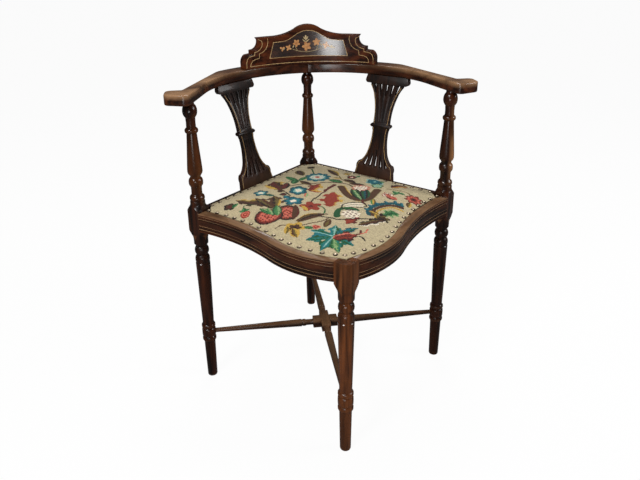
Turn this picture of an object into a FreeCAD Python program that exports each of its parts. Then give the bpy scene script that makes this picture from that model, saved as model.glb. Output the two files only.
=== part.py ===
"""Corner chair with turned posts, a curved arm bow, pierced splats and a needlework seat.

Millimetres, +Z up. The front leg points to -Y and the back post to +Y. The origin lies on the
floor, in the middle of the chair's outline. The frame is joined with tenons, the seat rests on
woven webbing, and nothing on the chair moves.
"""
import FreeCAD, Part
import math
import os
import Sketcher

Vector = FreeCAD.Vector
Rotation = FreeCAD.Rotation
Placement = FreeCAD.Placement
UP = Vector(0, 0, 1)
ROOT_TWO = math.sqrt(2)

doc = FreeCAD.newDocument("corner_chair")
sheet = doc.addObject("Spreadsheet::Sheet", "Sizes")


class Size:
    """A number that remembers the spreadsheet expression it comes from."""

    def __init__(self, number, text):
        self.number = number
        self.text = text

    def joined(self, other, sign, number):
        return Size(number, "(%s %s %s)" % (self.text, sign, other.text))

    def __add__(self, other):
        other = plain(other)
        return self.joined(other, "+", self.number + other.number)

    def __radd__(self, other):
        return plain(other) + self

    def __sub__(self, other):
        other = plain(other)
        return self.joined(other, "-", self.number - other.number)

    def __rsub__(self, other):
        return plain(other) - self

    def __mul__(self, other):
        other = plain(other)
        return self.joined(other, "*", self.number * other.number)

    def __rmul__(self, other):
        return plain(other) * self

    def __truediv__(self, other):
        other = plain(other)
        return self.joined(other, "/", self.number / other.number)

    def __neg__(self):
        return plain(-1) * self


def plain(value):
    """A bare number as a Size, and a Size as it is."""
    if isinstance(value, Size):
        return value
    return Size(float(value), "(%.12g)" % value)


def root(value):
    return Size(math.sqrt(value.number), "sqrt(%s)" % value.text)


def sine(degrees):
    return Size(math.sin(math.radians(degrees.number)), "sin(%s)" % degrees.text)


def cosine(degrees):
    return Size(math.cos(math.radians(degrees.number)), "cos(%s)" % degrees.text)


def size(alias, number):
    """Writes one driving dimension into the next row of the sheet."""
    size.row += 1
    cell = "B%d" % size.row
    sheet.set("A%d" % size.row, alias.replace("_", " "))
    sheet.set(cell, "%g" % number)
    sheet.setAlias(cell, alias)
    return Size(float(number), "Sizes." + alias)


size.row = 0

# Layout of the four posts, and the heights that the sitter meets
post_reach = size("post_reach", 275)
seat_height = size("seat_height", 430)
arm_height = size("arm_height", 670)
stretcher_height = size("stretcher_height", 121)

# Square block of a post, where the seat rails are tenoned in
block_side = size("block_side", 34)
block_blank_radius = size("block_blank_radius", 23.4)
block_rise = size("block_rise", 2)
block_drop = size("block_drop", 46)

# Turned leg below the block
foot_radius = size("foot_radius", 11.2)
shaft_low_radius = size("shaft_low_radius", 12.6)
shaft_high_radius = size("shaft_high_radius", 16)
collar_radius = size("collar_radius", 15.7)
collar_bead = size("collar_bead", 13.5)
collar_barrel = size("collar_barrel", 17)
bead_quirk = size("bead_quirk", 3)
knee_taper = size("knee_taper", 20)
knee_collar = size("knee_collar", 13)
knee_cove = size("knee_cove", 7)
knee_bead = size("knee_bead", 21)
knee_neck_radius = size("knee_neck_radius", 12.2)
knee_ring = size("knee_ring", 17.5)
knee_ring_radius = size("knee_ring_radius", 16.1)
shaft_groove = size("shaft_groove", 1.2)

# Turned spindle between the block and the arm
shoulder_rise = size("shoulder_rise", 14)
base_bead_radius = size("base_bead_radius", 16.1)
base_bead = size("base_bead", 21)
waist_radius = size("waist_radius", 11.6)
waist_height = size("waist_height", 20)
cup_ring_radius = size("cup_ring_radius", 15.3)
cup_ring = size("cup_ring", 18)
cup_neck_radius = size("cup_neck_radius", 10.8)
cup_rise = size("cup_rise", 13)
vase_radius = size("vase_radius", 16.2)
vase_top_radius = size("vase_top_radius", 10.5)
neck_ring_radius = size("neck_ring_radius", 14.1)
neck_ring = size("neck_ring", 10)
neck_radius = size("neck_radius", 9.9)
neck_height = size("neck_height", 23)
ball_radius = size("ball_radius", 15.3)
ball_height = size("ball_height", 26)
ball_top_gap = size("ball_top_gap", 7)
spigot_radius = size("spigot_radius", 7)
spigot_length = size("spigot_length", 16)

# Seat rails
rail_depth = size("rail_depth", 42)
back_rail_face = size("back_rail_face", 9)
hollow_place = size("hollow_place", 83)
hollow_face = size("hollow_face", 10.3)
belly_place = size("belly_place", 88)
belly_face = size("belly_face", 34.8)
rail_edge_round = size("rail_edge_round", 3)
reed_quirk_width = size("reed_quirk_width", 1.3)
reed_quirk_depth = size("reed_quirk_depth", 1.3)
reed_width = size("reed_width", 5)
top_reed_drop = size("top_reed_drop", 5.5)
low_reed_rise = size("low_reed_rise", 3)
rebate_width = size("rebate_width", 9)
rebate_depth = size("rebate_depth", 4)
tenon_thickness = size("tenon_thickness", 8)
tenon_height = size("tenon_height", 28)
tenon_length = size("tenon_length", 11.5)
tenon_inset = size("tenon_inset", 1)
joint_clearance = size("joint_clearance", 0.1)

# Arm bow
arm_thickness = size("arm_thickness", 22.5)
arm_inside = size("arm_inside", 24)
arm_outside = size("arm_outside", 23)
arm_edge_round = size("arm_edge_round", 3)
hand_reach = size("hand_reach", 46)
hand_run = size("hand_run", 118)
hand_front = size("hand_front", 35.5)
hand_back = size("hand_back", 4)
hand_round = size("hand_round", 13)
arm_notch = size("arm_notch", 13)
arm_sweep_round = size("arm_sweep_round", 60)
arm_dowel_radius = size("arm_dowel_radius", 4)
arm_dowel_length = size("arm_dowel_length", 50)
arm_dowel_spread = size("arm_dowel_spread", 26)

# Crest rail on top of the bow
crest_thickness = size("crest_thickness", 22)
crest_half = size("crest_half", 165)
crest_peak = size("crest_peak", 94)
crest_shoulder = size("crest_shoulder", 69.5)
crest_lobe = size("crest_lobe", 33)
crest_ear_reach = size("crest_ear_reach", 122)
crest_screw_length = size("crest_screw_length", 38)

# Pierced splats
splat_thickness = size("splat_thickness", 9.3)
splat_face_set = size("splat_face_set", 3.5)
splat_lean = size("splat_lean", 0.25)
splat_shift = size("splat_shift", 6)
splat_foot = size("splat_foot", 54)
splat_foot_height = size("splat_foot_height", 36)
splat_waist = size("splat_waist", 20)
splat_fan = size("splat_fan", 43)
splat_cap = size("splat_cap", 58)
splat_cap_depth = size("splat_cap_depth", 19)
splat_cap_proud = size("splat_cap_proud", 3)
splat_slot = size("splat_slot", 5.4)
splat_flute = size("splat_flute", 1.5)
splat_rib = size("splat_rib", 2)
splat_band_height = size("splat_band_height", 8)
splat_band_reach = size("splat_band_reach", 28)
splat_band_proud = size("splat_band_proud", 2.5)
splat_tenon_length = size("splat_tenon_length", 10)
splat_tenon_thickness = size("splat_tenon_thickness", 6)
splat_tenon_half = size("splat_tenon_half", 40)

# Crossed stretchers
stretcher_end_radius = size("stretcher_end_radius", 5)
stretcher_end_depth = size("stretcher_end_depth", 12)
stretcher_swell_radius = size("stretcher_swell_radius", 8.8)
stretcher_neck_radius = size("stretcher_neck_radius", 6.8)
stretcher_bead_radius = size("stretcher_bead_radius", 8.2)
stretcher_bead_place = size("stretcher_bead_place", 46)
stretcher_bead_width = size("stretcher_bead_width", 9)
stretcher_block = size("stretcher_block", 21)
stretcher_block_half = size("stretcher_block_half", 29)

# Corner braces and screws under the seat
brace_leg = size("brace_leg", 60)
brace_height = size("brace_height", 26)
brace_rise = size("brace_rise", 4)
brace_nose = size("brace_nose", 5)
brace_screw_place = size("brace_screw_place", 38)
brace_screw_step = size("brace_screw_step", 11)
brace_screw_length = size("brace_screw_length", 33)
screw_radius = size("screw_radius", 2.1)
screw_head_radius = size("screw_head_radius", 4)
screw_head_height = size("screw_head_height", 2.6)
screw_bite = size("screw_bite", 14)

# Webbing, canvas, stuffing and cover
web_width = size("web_width", 50)
web_thickness = size("web_thickness", 1.4)
web_spacing = size("web_spacing", 84)
web_hold = size("web_hold", 7)
canvas_thickness = size("canvas_thickness", 0.8)
cover_thickness = size("cover_thickness", 2)
front_border = size("front_border", 14)
back_border = size("back_border", 13)
post_border = size("post_border", 2)
hem_width = size("hem_width", 15)
seat_crown = size("seat_crown", 17)
crown_radius = size("crown_radius", 2600)
soft_clearance = size("soft_clearance", 0.2)

# Lengths worked out from the sizes above
half_block = block_side / 2
block_corner = block_side / ROOT_TWO
span = post_reach * ROOT_TWO
rail_start = half_block
rail_end = span - half_block
rail_bottom = seat_height - rail_depth
arm_inner_radius = post_reach - arm_inside
arm_outer_radius = post_reach + arm_outside
centre_shift = -(arm_outside - half_block) / 2
arm_top = arm_height + arm_thickness
rail_line = post_reach / ROOT_TWO
tenon_low = rail_bottom + (rail_depth - tenon_height) / 2
brace_bottom = rail_bottom + brace_rise
low_screw = brace_bottom + (brace_height - brace_screw_step) / 2
high_screw = low_screw + brace_screw_step
web_bottom = seat_height - rebate_depth


class Path:
    """A closed outline of straight and arc edges, each corner tied to the sheet."""

    def __init__(self, x, y):
        self.corners = [(plain(x), plain(y))]
        self.middles = []

    def line(self, x, y):
        self.corners.append((plain(x), plain(y)))
        self.middles.append(None)
        return self

    def arc(self, through_x, through_y, x, y):
        self.corners.append((plain(x), plain(y)))
        self.middles.append((plain(through_x), plain(through_y)))
        return self

    def bead(self, crown, x, y):
        """A small moulding of two flats that meet at its crown."""
        last_y = self.corners[-1][1]
        return self.line(crown, (last_y + y) / 2).line(x, y)

    def close(self):
        self.middles.append(None)
        return self

    def arc_home(self, through_x, through_y):
        """Closes the outline with an arc back to its first corner."""
        self.middles.append((plain(through_x), plain(through_y)))
        return self


def tie(sketch, constraints, where, point, axis, amount):
    """Holds one coordinate of a sketch point at an amount from the origin."""
    if amount.number == 0 and "Sizes" not in amount.text:
        constraints.append((Sketcher.Constraint("PointOnObject", where, point, -2 if axis == "X" else -1), None))
        return
    rule = Sketcher.Constraint("Distance" + axis, -1, 1, where, point, amount.number)
    constraints.append((rule, amount.text))


def flat(point):
    return Vector(point[0].number, point[1].number, 0)


def plane_of(body, role):
    for feature in body.Origin.OriginFeatures:
        if feature.Role == role:
            return feature
    raise ValueError(role)


def draw(body, name, role, paths, lift=None, turn=None):
    """Draws closed outlines on an origin plane, lifted along its normal and turned about it."""
    sketch = body.newObject("Sketcher::SketchObject", name)
    sketch.AttachmentSupport = (plane_of(body, role), "")
    sketch.MapMode = "FlatFace"
    if lift is not None or turn is not None:
        rise = lift.number if lift is not None else 0
        sketch.AttachmentOffset = Placement(Vector(0, 0, rise), turn or Rotation())
        if lift is not None:
            sketch.setExpression("AttachmentOffset.Base.z", lift.text)
    constraints = []
    for path in paths:
        first = len(sketch.Geometry)
        count = len(path.corners)
        ends = []
        for index, middle in enumerate(path.middles):
            start = flat(path.corners[index])
            end = flat(path.corners[(index + 1) % count])
            if middle is None:
                sketch.addGeometry(Part.LineSegment(start, end))
                ends.append((1, 2))
            elif (flat(middle) - start).cross(end - start).z < 0:
                sketch.addGeometry(Part.Arc(end, flat(middle), start))
                ends.append((2, 1))
            else:
                sketch.addGeometry(Part.Arc(start, flat(middle), end))
                ends.append((1, 2))
        for index in range(count):
            here = first + index
            before = first + (index - 1) % count
            rule = Sketcher.Constraint("Coincident", before, ends[(index - 1) % count][1], here, ends[index][0])
            constraints.append((rule, None))
            tie(sketch, constraints, here, ends[index][0], "X", path.corners[index][0])
            tie(sketch, constraints, here, ends[index][0], "Y", path.corners[index][1])
        for index, middle in enumerate(path.middles):
            if middle is None:
                continue
            spot = sketch.addGeometry(Part.Point(flat(middle)), True)
            tie(sketch, constraints, spot, 1, "X", middle[0])
            tie(sketch, constraints, spot, 1, "Y", middle[1])
            rule = Sketcher.Constraint("PointOnObject", spot, 1, first + index)
            constraints.append((rule, None))
    start = sketch.ConstraintCount
    sketch.addConstraint([rule for rule, text in constraints])
    for index, (rule, text) in enumerate(constraints):
        if text is not None and "Sizes" in text:
            sketch.setExpression("Constraints[%d]" % (start + index), text)
    return sketch


def circle(body, name, role, spots, radius, lift=None, turn=None):
    """Draws equal circles on an origin plane."""
    sketch = draw(body, name, role, [], lift, turn)
    for x, y in spots:
        x = plain(x)
        y = plain(y)
        where = sketch.addGeometry(Part.Circle(Vector(x.number, y.number, 0), UP, radius.number))
        constraints = [(Sketcher.Constraint("Radius", where, radius.number), radius.text)]
        tie(sketch, constraints, where, 3, "X", x)
        tie(sketch, constraints, where, 3, "Y", y)
        start = sketch.ConstraintCount
        sketch.addConstraint([rule for rule, text in constraints])
        for index, (rule, text) in enumerate(constraints):
            if text is not None:
                sketch.setExpression("Constraints[%d]" % (start + index), text)
    return sketch


def bind(thing, name, amount):
    amount = plain(amount)
    setattr(thing, name, amount.number)
    thing.setExpression(name, amount.text)


def pad(body, name, profile, length, both=False, back=False):
    feature = body.newObject("PartDesign::Pad", name)
    feature.Profile = profile
    bind(feature, "Length", length)
    if both:
        feature.SideType = "Symmetric"
    feature.Reversed = back
    return feature


def pocket(body, name, profile, length=None, both=False, back=False):
    """Cuts a sketch away, through everything when no length is given."""
    feature = body.newObject("PartDesign::Pocket", name)
    feature.Profile = profile
    if length is None:
        feature.Type = "ThroughAll"
    else:
        bind(feature, "Length", length)
    if both:
        feature.SideType = "Symmetric"
    feature.Reversed = back
    return feature


def revolve(body, name, profile, axis):
    feature = body.newObject("PartDesign::Revolution", name)
    feature.Profile = profile
    feature.ReferenceAxis = (profile, [axis])
    feature.Angle = 360
    return feature


def round_edges(body, name, radius, wanted):
    """Rounds every edge of the body's present shape that the test picks."""
    doc.recompute()
    base = body.Tip
    edges = []
    for index, edge in enumerate(base.Shape.Edges):
        if wanted(edge):
            edges.append("Edge%d" % (index + 1))
    feature = body.newObject("PartDesign::Fillet", name)
    feature.Base = (base, edges)
    bind(feature, "Radius", radius)
    return feature


nodes = []


def new_body(name):
    body = doc.addObject("PartDesign::Body", name)
    body.Label = name
    nodes.append(body)
    return body


def place(thing, x, y, z, turn=0):
    """Puts a sub-part in the chair, turned by a rotation or by degrees about the vertical."""
    spot = [plain(x), plain(y) + centre_shift, plain(z)]
    if not isinstance(turn, Rotation):
        turn = Rotation(UP, turn)
    thing.Placement = Placement(Vector(*[amount.number for amount in spot]), turn)
    for axis, amount in zip("xyz", spot):
        thing.setExpression("Placement.Base." + axis, amount.text)


def square(half):
    """A square standing on one corner."""
    corner = half * ROOT_TWO
    return Path(corner, 0).line(0, corner).line(-corner, 0).line(0, -corner).close()


def box_path(left, low, right, high):
    return Path(left, low).line(right, low).line(right, high).line(left, high).close()


# Turned posts
collar_start = stretcher_height - collar_barrel / 2 - collar_bead
barrel_start = stretcher_height - collar_barrel / 2
barrel_end = stretcher_height + collar_barrel / 2
collar_end = barrel_end + collar_bead
block_bottom = seat_height - block_drop
block_top = seat_height + block_rise


def leg_profile():
    """The turned half-profile from the floor up to the underside of the block."""
    quirk_radius = collar_radius - bead_quirk / 2
    knee_low = block_bottom - knee_taper
    cove_top = knee_low - knee_collar
    bead_top = cove_top - knee_cove
    ring_top = bead_top - knee_bead
    ring_low = ring_top - knee_ring
    return (Path(0, 0)
            .line(foot_radius, 0)
            .line(shaft_low_radius, collar_start)
            .bead(collar_radius, quirk_radius, barrel_start)
            .line(collar_radius, barrel_start)
            .line(collar_radius, barrel_end)
            .line(quirk_radius, barrel_end)
            .bead(collar_radius, shaft_low_radius, collar_end)
            .line(shaft_high_radius, ring_low)
            .line(shaft_high_radius - shaft_groove, ring_low)
            .bead(knee_ring_radius, knee_neck_radius, ring_top)
            .bead(collar_radius, knee_neck_radius, bead_top)
            .line(collar_radius, cove_top)
            .line(collar_radius, knee_low)
            .line(block_blank_radius, block_bottom))


def spindle_profile(profile):
    """Carries the half-profile on from the top of the block to the arm's spigot."""
    shoulder_top = block_top + shoulder_rise
    waist_low = shoulder_top + base_bead
    waist_top = waist_low + waist_height
    ring_top = waist_top + cup_ring
    vase_low = ring_top + cup_rise
    ball_top = arm_height - ball_top_gap
    ball_low = ball_top - ball_height
    neck_low = ball_low - neck_height
    neck_ring_low = neck_low - neck_ring
    bead_third = base_bead / 3
    return (profile
            .line(block_blank_radius, block_top)
            .line(base_bead_radius, shoulder_top)
            .line(base_bead_radius, shoulder_top + bead_third)
            .line(base_bead_radius - bead_quirk / 2, shoulder_top + bead_third + bead_quirk / 2)
            .line(base_bead_radius, shoulder_top + bead_third + bead_quirk)
            .line(base_bead_radius, waist_low - bead_third)
            .line(waist_radius, waist_low)
            .line(waist_radius, waist_top)
            .line(cup_ring_radius - bead_quirk / 2, waist_top)
            .bead(cup_ring_radius, cup_neck_radius, ring_top)
            .line(vase_radius, vase_low)
            .line(vase_top_radius, neck_ring_low)
            .line(neck_ring_radius - bead_quirk / 2, neck_ring_low)
            .bead(neck_ring_radius, neck_radius, neck_low)
            .line(neck_radius, ball_low)
            .bead(ball_radius, neck_radius, ball_top)
            .line(neck_radius, arm_height)
            .line(spigot_radius, arm_height)
            .line(spigot_radius, arm_height + spigot_length)
            .line(0, arm_height + spigot_length)
            .close())


def front_leg_profile():
    """The front leg's half-profile ends level with the seat rails."""
    return leg_profile().line(block_blank_radius, seat_height).line(0, seat_height).close()


def turned_post(name, x, y, degrees, front=False):
    """A post turned from one length of wood, with its square block left in the middle.

    In its own frame the chair's centre lies towards -Y.
    """
    body = new_body(name)
    path = front_leg_profile() if front else spindle_profile(leg_profile())
    revolve(body, name + "_turning", draw(body, name + "_profile", "XZ_Plane", [path]), "V_Axis")

    outside = box_path(-block_side * 2, -block_side * 2, block_side * 2, block_side * 2)
    if front:
        edge = half_block / ROOT_TWO
        inside = (Path(edge, edge).arc(0, half_block, -edge, edge).line(-block_corner, 0)
                  .line(0, -block_corner).line(block_corner, 0).close())
    else:
        inside = square(half_block)
    section = draw(body, name + "_section", "XY_Plane", [outside, inside])
    pocket(body, name + "_block", section, back=True)

    # Two mortises for the rails, open on the block's two inner faces
    low = tenon_low - joint_clearance
    near = half_block - tenon_length - joint_clearance
    thin = tenon_thickness / 2 + joint_clearance
    mortise_a = box_path(near, tenon_inset - thin, block_side, tenon_inset + thin)
    mortise_b = box_path(tenon_inset - thin, near, tenon_inset + thin, block_side)
    for letter, path in (("a", mortise_a), ("b", mortise_b)):
        mark = draw(body, name + "_mortise_" + letter, "XY_Plane", [path], low, Rotation(UP, -135))
        pocket(body, name + "_mortise_cut_" + letter, mark, tenon_height + joint_clearance * 2, back=True)

    # Socket for the stretcher's round end
    socket_end = collar_radius - stretcher_end_depth - joint_clearance
    socket = circle(body, name + "_socket", "XZ_Plane", [(0, stretcher_height)],
                    stretcher_end_radius + joint_clearance / 2, socket_end)
    pocket(body, name + "_socket_cut", socket, block_side, back=True)
    place(body, x, y, 0, degrees)
    return body


turned_post("left_post", -post_reach, 0, 90)
turned_post("right_post", post_reach, 0, -90)
turned_post("back_post", 0, post_reach, 0)
turned_post("front_leg", 0, -post_reach, 180, front=True)


# Seat rails, each in a frame whose X runs along the rail and whose Y points out of the chair
hollow_x = rail_start + hollow_place
belly_x = rail_end - belly_place
belly_drop = belly_face - half_block
belly_radius = (belly_place * belly_place + belly_drop * belly_drop) / (2 * belly_drop)
swing = belly_x - hollow_x
swell = belly_face - hollow_face
both_radii = (swing * swing + swell * swell) / (2 * swell)
hollow_radius = both_radii - belly_radius


def serpentine(inset):
    """Start, hollow, turn, belly and end of a front rail's face, set in by an amount."""
    outer = hollow_radius + inset
    inner = belly_radius - inset
    start_y = hollow_face + hollow_radius - root(outer * outer - hollow_place * hollow_place)
    end_y = belly_face - belly_radius + root(inner * inner - belly_place * belly_place)
    turn_x = hollow_x + swing * outer / both_radii
    turn_y = hollow_face + hollow_radius - (both_radii - swell) * outer / both_radii
    return [(rail_start, start_y), (hollow_x, hollow_face - inset), (turn_x, turn_y),
            (belly_x, belly_face - inset), (rail_end, end_y)]


def front_path(inset, side_y, flipped):
    """The region between a front rail's curved face and a straight line beside it."""
    start, hollow, turn, belly, end = [
        ((span - x) if flipped else x, y) for x, y in serpentine(plain(inset))]
    return (Path(start[0], side_y).line(*start).arc(*hollow, *turn).arc(*belly, *end)
            .line(end[0], side_y).close())


def finish_rail(body, name, splat_place=None):
    """Tenons, rebate and screw holes that every seat rail has."""
    tenons = draw(body, name + "_tenon_plan", "XY_Plane",
                  [box_path(rail_start - tenon_length, -tenon_inset - tenon_thickness / 2,
                            rail_end + tenon_length, tenon_thickness / 2 - tenon_inset)], tenon_low)
    pad(body, name + "_tenons", tenons, tenon_height)
    ledge = draw(body, name + "_rebate_plan", "XY_Plane",
                 [box_path(rail_start, -half_block * 2, rail_end, rebate_width - half_block)], web_bottom)
    pocket(body, name + "_rebate", ledge, rebate_depth * 2, back=True)
    spots = [(brace_screw_place, high_screw), (span - brace_screw_place, low_screw)]
    pilots = circle(body, name + "_pilot_plan", "XZ_Plane", spots, screw_radius + joint_clearance,
                    half_block - screw_bite)
    pocket(body, name + "_pilots", pilots, half_block, back=True)
    if splat_place is not None:
        front = splat_foot_face + splat_tenon_set - joint_clearance
        back = front + splat_tenon_thickness + joint_clearance * 2
        half = splat_tenon_half + joint_clearance
        mortise = draw(body, name + "_mortise_plan", "XY_Plane",
                       [box_path(splat_place - half, front, splat_place + half, back)],
                       seat_height - splat_tenon_length - joint_clearance)
        pocket(body, name + "_mortise", mortise, splat_tenon_length * 2, back=True)


def front_rail(name, x, y, degrees, flipped):
    """A front rail with its serpentine, reeded face."""
    body = new_body(name)
    plan = draw(body, name + "_plan", "XY_Plane", [front_path(0, -half_block, flipped)], rail_bottom)
    pad(body, name + "_blank", plan, rail_depth)
    lows = [seat_height - top_reed_drop - reed_quirk_width * step - reed_width * (step - 1) for step in (1, 2)]
    lows += [rail_bottom + low_reed_rise + reed_width * step for step in (0, 1, 2)]
    for number, low in enumerate(lows):
        quirk = draw(body, "%s_quirk_%d" % (name, number), "XY_Plane",
                     [front_path(reed_quirk_depth, belly_face * 2, flipped)], low)
        pocket(body, "%s_quirk_cut_%d" % (name, number), quirk, reed_quirk_width, back=True)
    finish_rail(body, name)
    place(body, x, y, 0, degrees)


def back_rail(name, x, y, degrees, splat_place):
    """A straight back rail under a splat."""
    body = new_body(name)
    plan = draw(body, name + "_plan", "XY_Plane",
                [box_path(rail_start, -half_block, rail_end, back_rail_face)], rail_bottom)
    pad(body, name + "_blank", plan, rail_depth)
    round_edges(body, name + "_round", rail_edge_round,
                lambda edge: edge.BoundBox.ZMin > seat_height.number - 1
                and edge.BoundBox.YMin > back_rail_face.number - 1)
    finish_rail(body, name, splat_place)
    place(body, x, y, 0, degrees)


# Where the splats meet the rail and the arm, measured out from the line of the post axes
splat_foot_face = -splat_face_set - splat_lean * block_rise
splat_top_face = splat_foot_face + splat_lean * (arm_height - seat_height)
splat_tenon_set = splat_thickness - splat_tenon_thickness

front_rail("front_right_rail", post_reach, 0, 225, False)
front_rail("front_left_rail", 0, -post_reach, 135, True)
back_rail("back_right_rail", 0, post_reach, -45, span / 2 + splat_shift)
back_rail("back_left_rail", -post_reach, 0, 45, span / 2 - splat_shift)

# The two arms, which meet end to end over the back post
hand_tip = post_reach + hand_reach
crest_screw_radius = arm_inner_radius + crest_thickness / 2
crest_screw_angles = [12, 28]


# Where the arm's inner edge leaves its circle, and where the outer sweep meets its own
straight_from = 14
sweep_to = 41.8


def on_circle(radius, degrees, side):
    turn = math.radians(degrees)
    return (radius * math.cos(turn) * side, radius * math.sin(turn))


def arm_corners(side):
    """The corners from the inner edge's end, round the hand, to the outer circle."""
    leave = on_circle(arm_inner_radius, straight_from, side)
    drop = on_circle(hand_run, 90 - straight_from, side)
    return [(leave[0] + drop[0], leave[1] - drop[1]),
            (hand_tip * side, -hand_front),
            (hand_tip * side, hand_back),
            ((post_reach + arm_notch) * side, hand_back),
            on_circle(arm_outer_radius, sweep_to, side)]


def arm_plan(side):
    """One arm's outline from the joint round to the hand and back."""
    path = Path(0, arm_inner_radius)
    path.arc(*on_circle(arm_inner_radius, 50, side), *on_circle(arm_inner_radius, straight_from, side))
    for corner in arm_corners(side):
        path.line(*corner)
    return path.arc(*on_circle(arm_outer_radius, 66, side), 0, arm_outer_radius).close()


def upright_at(corner):
    """A test that picks the upright edge standing on a corner of the outline."""
    def wanted(edge):
        middle = edge.CenterOfMass
        return (edge.BoundBox.ZLength > arm_thickness.number - 1
                and math.hypot(middle.x - corner[0].number, middle.y - corner[1].number) < 0.5)
    return wanted


def arm(name, side):
    body = new_body(name)
    plan = draw(body, name + "_plan", "XY_Plane", [arm_plan(side)], arm_height)
    pad(body, name + "_blank", plan, arm_thickness)
    rounds = [hand_round, hand_round, hand_round, arm_edge_round, arm_sweep_round]
    for number, (corner, radius) in enumerate(zip(arm_corners(side), rounds)):
        round_edges(body, "%s_corner_%d" % (name, number), radius, upright_at(corner))
    round_edges(body, name + "_round", arm_edge_round,
                lambda edge: edge.BoundBox.ZLength < 0.1 and edge.BoundBox.XLength > 0.1)
    sockets = circle(body, name + "_socket_plan", "XY_Plane", [(post_reach * side, 0), (0, post_reach)],
                     spigot_radius + joint_clearance, arm_height)
    pocket(body, name + "_sockets", sockets, spigot_length + joint_clearance, back=True)
    dowel_z = arm_height + arm_thickness / 2
    spots = [(post_reach - arm_dowel_spread / 2, dowel_z), (post_reach + arm_dowel_spread / 2, dowel_z)]
    dowels = circle(body, name + "_dowel_plan", "YZ_Plane", spots, arm_dowel_radius + joint_clearance)
    pocket(body, name + "_dowel_holes", dowels, arm_dowel_length + joint_clearance * 2, both=True)

    # Mortise for the splat's upper tenon
    front = rail_line + splat_top_face + splat_tenon_set - joint_clearance
    back = front + splat_tenon_thickness + joint_clearance * 2
    half = splat_tenon_half + joint_clearance
    middle = splat_shift * side
    mortise = draw(body, name + "_mortise_plan", "XY_Plane", [box_path(middle - half, front, middle + half, back)],
                   arm_height, Rotation(UP, -45 * side))
    pocket(body, name + "_mortise", mortise, splat_tenon_length + joint_clearance, back=True)

    # Counterbored holes for the screws that hold the crest rail
    spots = []
    for degrees in crest_screw_angles:
        turn = plain(degrees * side)
        spots.append((crest_screw_radius * sine(turn), crest_screw_radius * cosine(turn)))
    bores = circle(body, name + "_screw_plan", "XY_Plane", spots, screw_radius + joint_clearance, arm_height)
    pocket(body, name + "_screw_holes", bores, back=True)
    sinks = circle(body, name + "_sink_plan", "XY_Plane", spots, screw_head_radius + joint_clearance, arm_height)
    pocket(body, name + "_screw_sinks", sinks, screw_head_height + joint_clearance, back=True)
    place(body, 0, 0, 0)


arm("left_arm", -1)
arm("right_arm", 1)

# Crest rail: a ring sector with a shaped top and stepped ends
crest = new_body("crest_rail")
crest_outer = arm_inner_radius + crest_thickness
crest_turn = crest_half / arm_inner_radius * (180 / math.pi)
crest_end = (sine(crest_turn), cosine(crest_turn))
crest_plan = (Path(-arm_inner_radius * crest_end[0], arm_inner_radius * crest_end[1])
              .arc(0, arm_inner_radius, arm_inner_radius * crest_end[0], arm_inner_radius * crest_end[1])
              .line(crest_outer * crest_end[0], crest_outer * crest_end[1])
              .arc(0, crest_outer, -crest_outer * crest_end[0], crest_outer * crest_end[1])
              .close())
pad(crest, "crest_blank", draw(crest, "crest_plan", "XY_Plane", [crest_plan], arm_top), crest_peak)

# The top runs from a flat shoulder on each side up to the middle
crest_flat = arm_top + crest_shoulder
crest_rise = crest_peak - crest_shoulder
crest_high = arm_top + crest_peak
crest_far = crest_outer
crest_foot = crest_half * 0.552
crest_turning = crest_half * 0.331
crest_crown = crest_half * 0.2025
crest_top = (Path(-crest_far, crest_flat)
             .line(-crest_foot, crest_flat)
             .arc(-crest_turning, crest_flat + crest_rise * 0.2, -crest_crown, crest_flat + crest_rise * 0.55)
             .arc(0, crest_high, crest_crown, crest_flat + crest_rise * 0.55)
             .arc(crest_turning, crest_flat + crest_rise * 0.2, crest_foot, crest_flat)
             .line(crest_far, crest_flat)
             .line(crest_far, crest_high + crest_rise)
             .line(-crest_far, crest_high + crest_rise)
             .close())
pocket(crest, "crest_top_cut", draw(crest, "crest_top", "XZ_Plane", [crest_top]))

# Each end is cut square to the bow: a low lobe, a step, a hollow and a pointed ear
crest_end_turn = 33
for side in (-1, 1):
    middle = arm_inner_radius * math.radians(crest_end_turn)
    tip = (crest_half - middle) * side
    ear = (crest_ear_reach - middle) * side
    step = (crest_half - 25 - middle) * side
    lobe = arm_top + crest_lobe
    end = (Path(ear, crest_flat)
           .line(ear - 4 * side, crest_flat - 5.5)
           .arc(ear - 2 * side, crest_flat - 17.5, ear + 9 * side, lobe + 10)
           .line(step, lobe + 9)
           .line(step, lobe + 1)
           .line(tip - 11 * side, lobe)
           .arc(tip - 2.5 * side, lobe - 8, tip, lobe - 21)
           .line(tip, arm_height)
           .line(tip + crest_thickness * 2 * side, arm_height)
           .line(tip + crest_thickness * 2 * side, crest_high)
           .line(ear, crest_high)
           .close())
    profile = draw(crest, "crest_end_%d" % (side + 1), "XZ_Plane", [end], None,
                   Rotation(Vector(0, 1, 0), -crest_end_turn * side))
    pocket(crest, "crest_end_cut_%d" % (side + 1), profile)
crest_spots = []
for degrees in (-28, -12, 12, 28):
    turn = plain(degrees)
    crest_spots.append((crest_screw_radius * sine(turn), crest_screw_radius * cosine(turn)))
crest_pilots = circle(crest, "crest_pilot_plan", "XY_Plane", crest_spots, screw_radius + joint_clearance, arm_top)
pocket(crest, "crest_pilots", crest_pilots, crest_screw_length - arm_thickness + joint_clearance, back=True)
place(crest, 0, 0, 0)


# Splats: a leaning board, cut to its outline, fluted on its face and pierced
splat_foot_top = seat_height + splat_foot_height
splat_cap_low = arm_height - splat_cap_depth
splat_free = splat_cap_low - splat_foot_top
splat_band = splat_foot_top + splat_free * 0.454
splat_band_top = splat_band + splat_band_height


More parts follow.
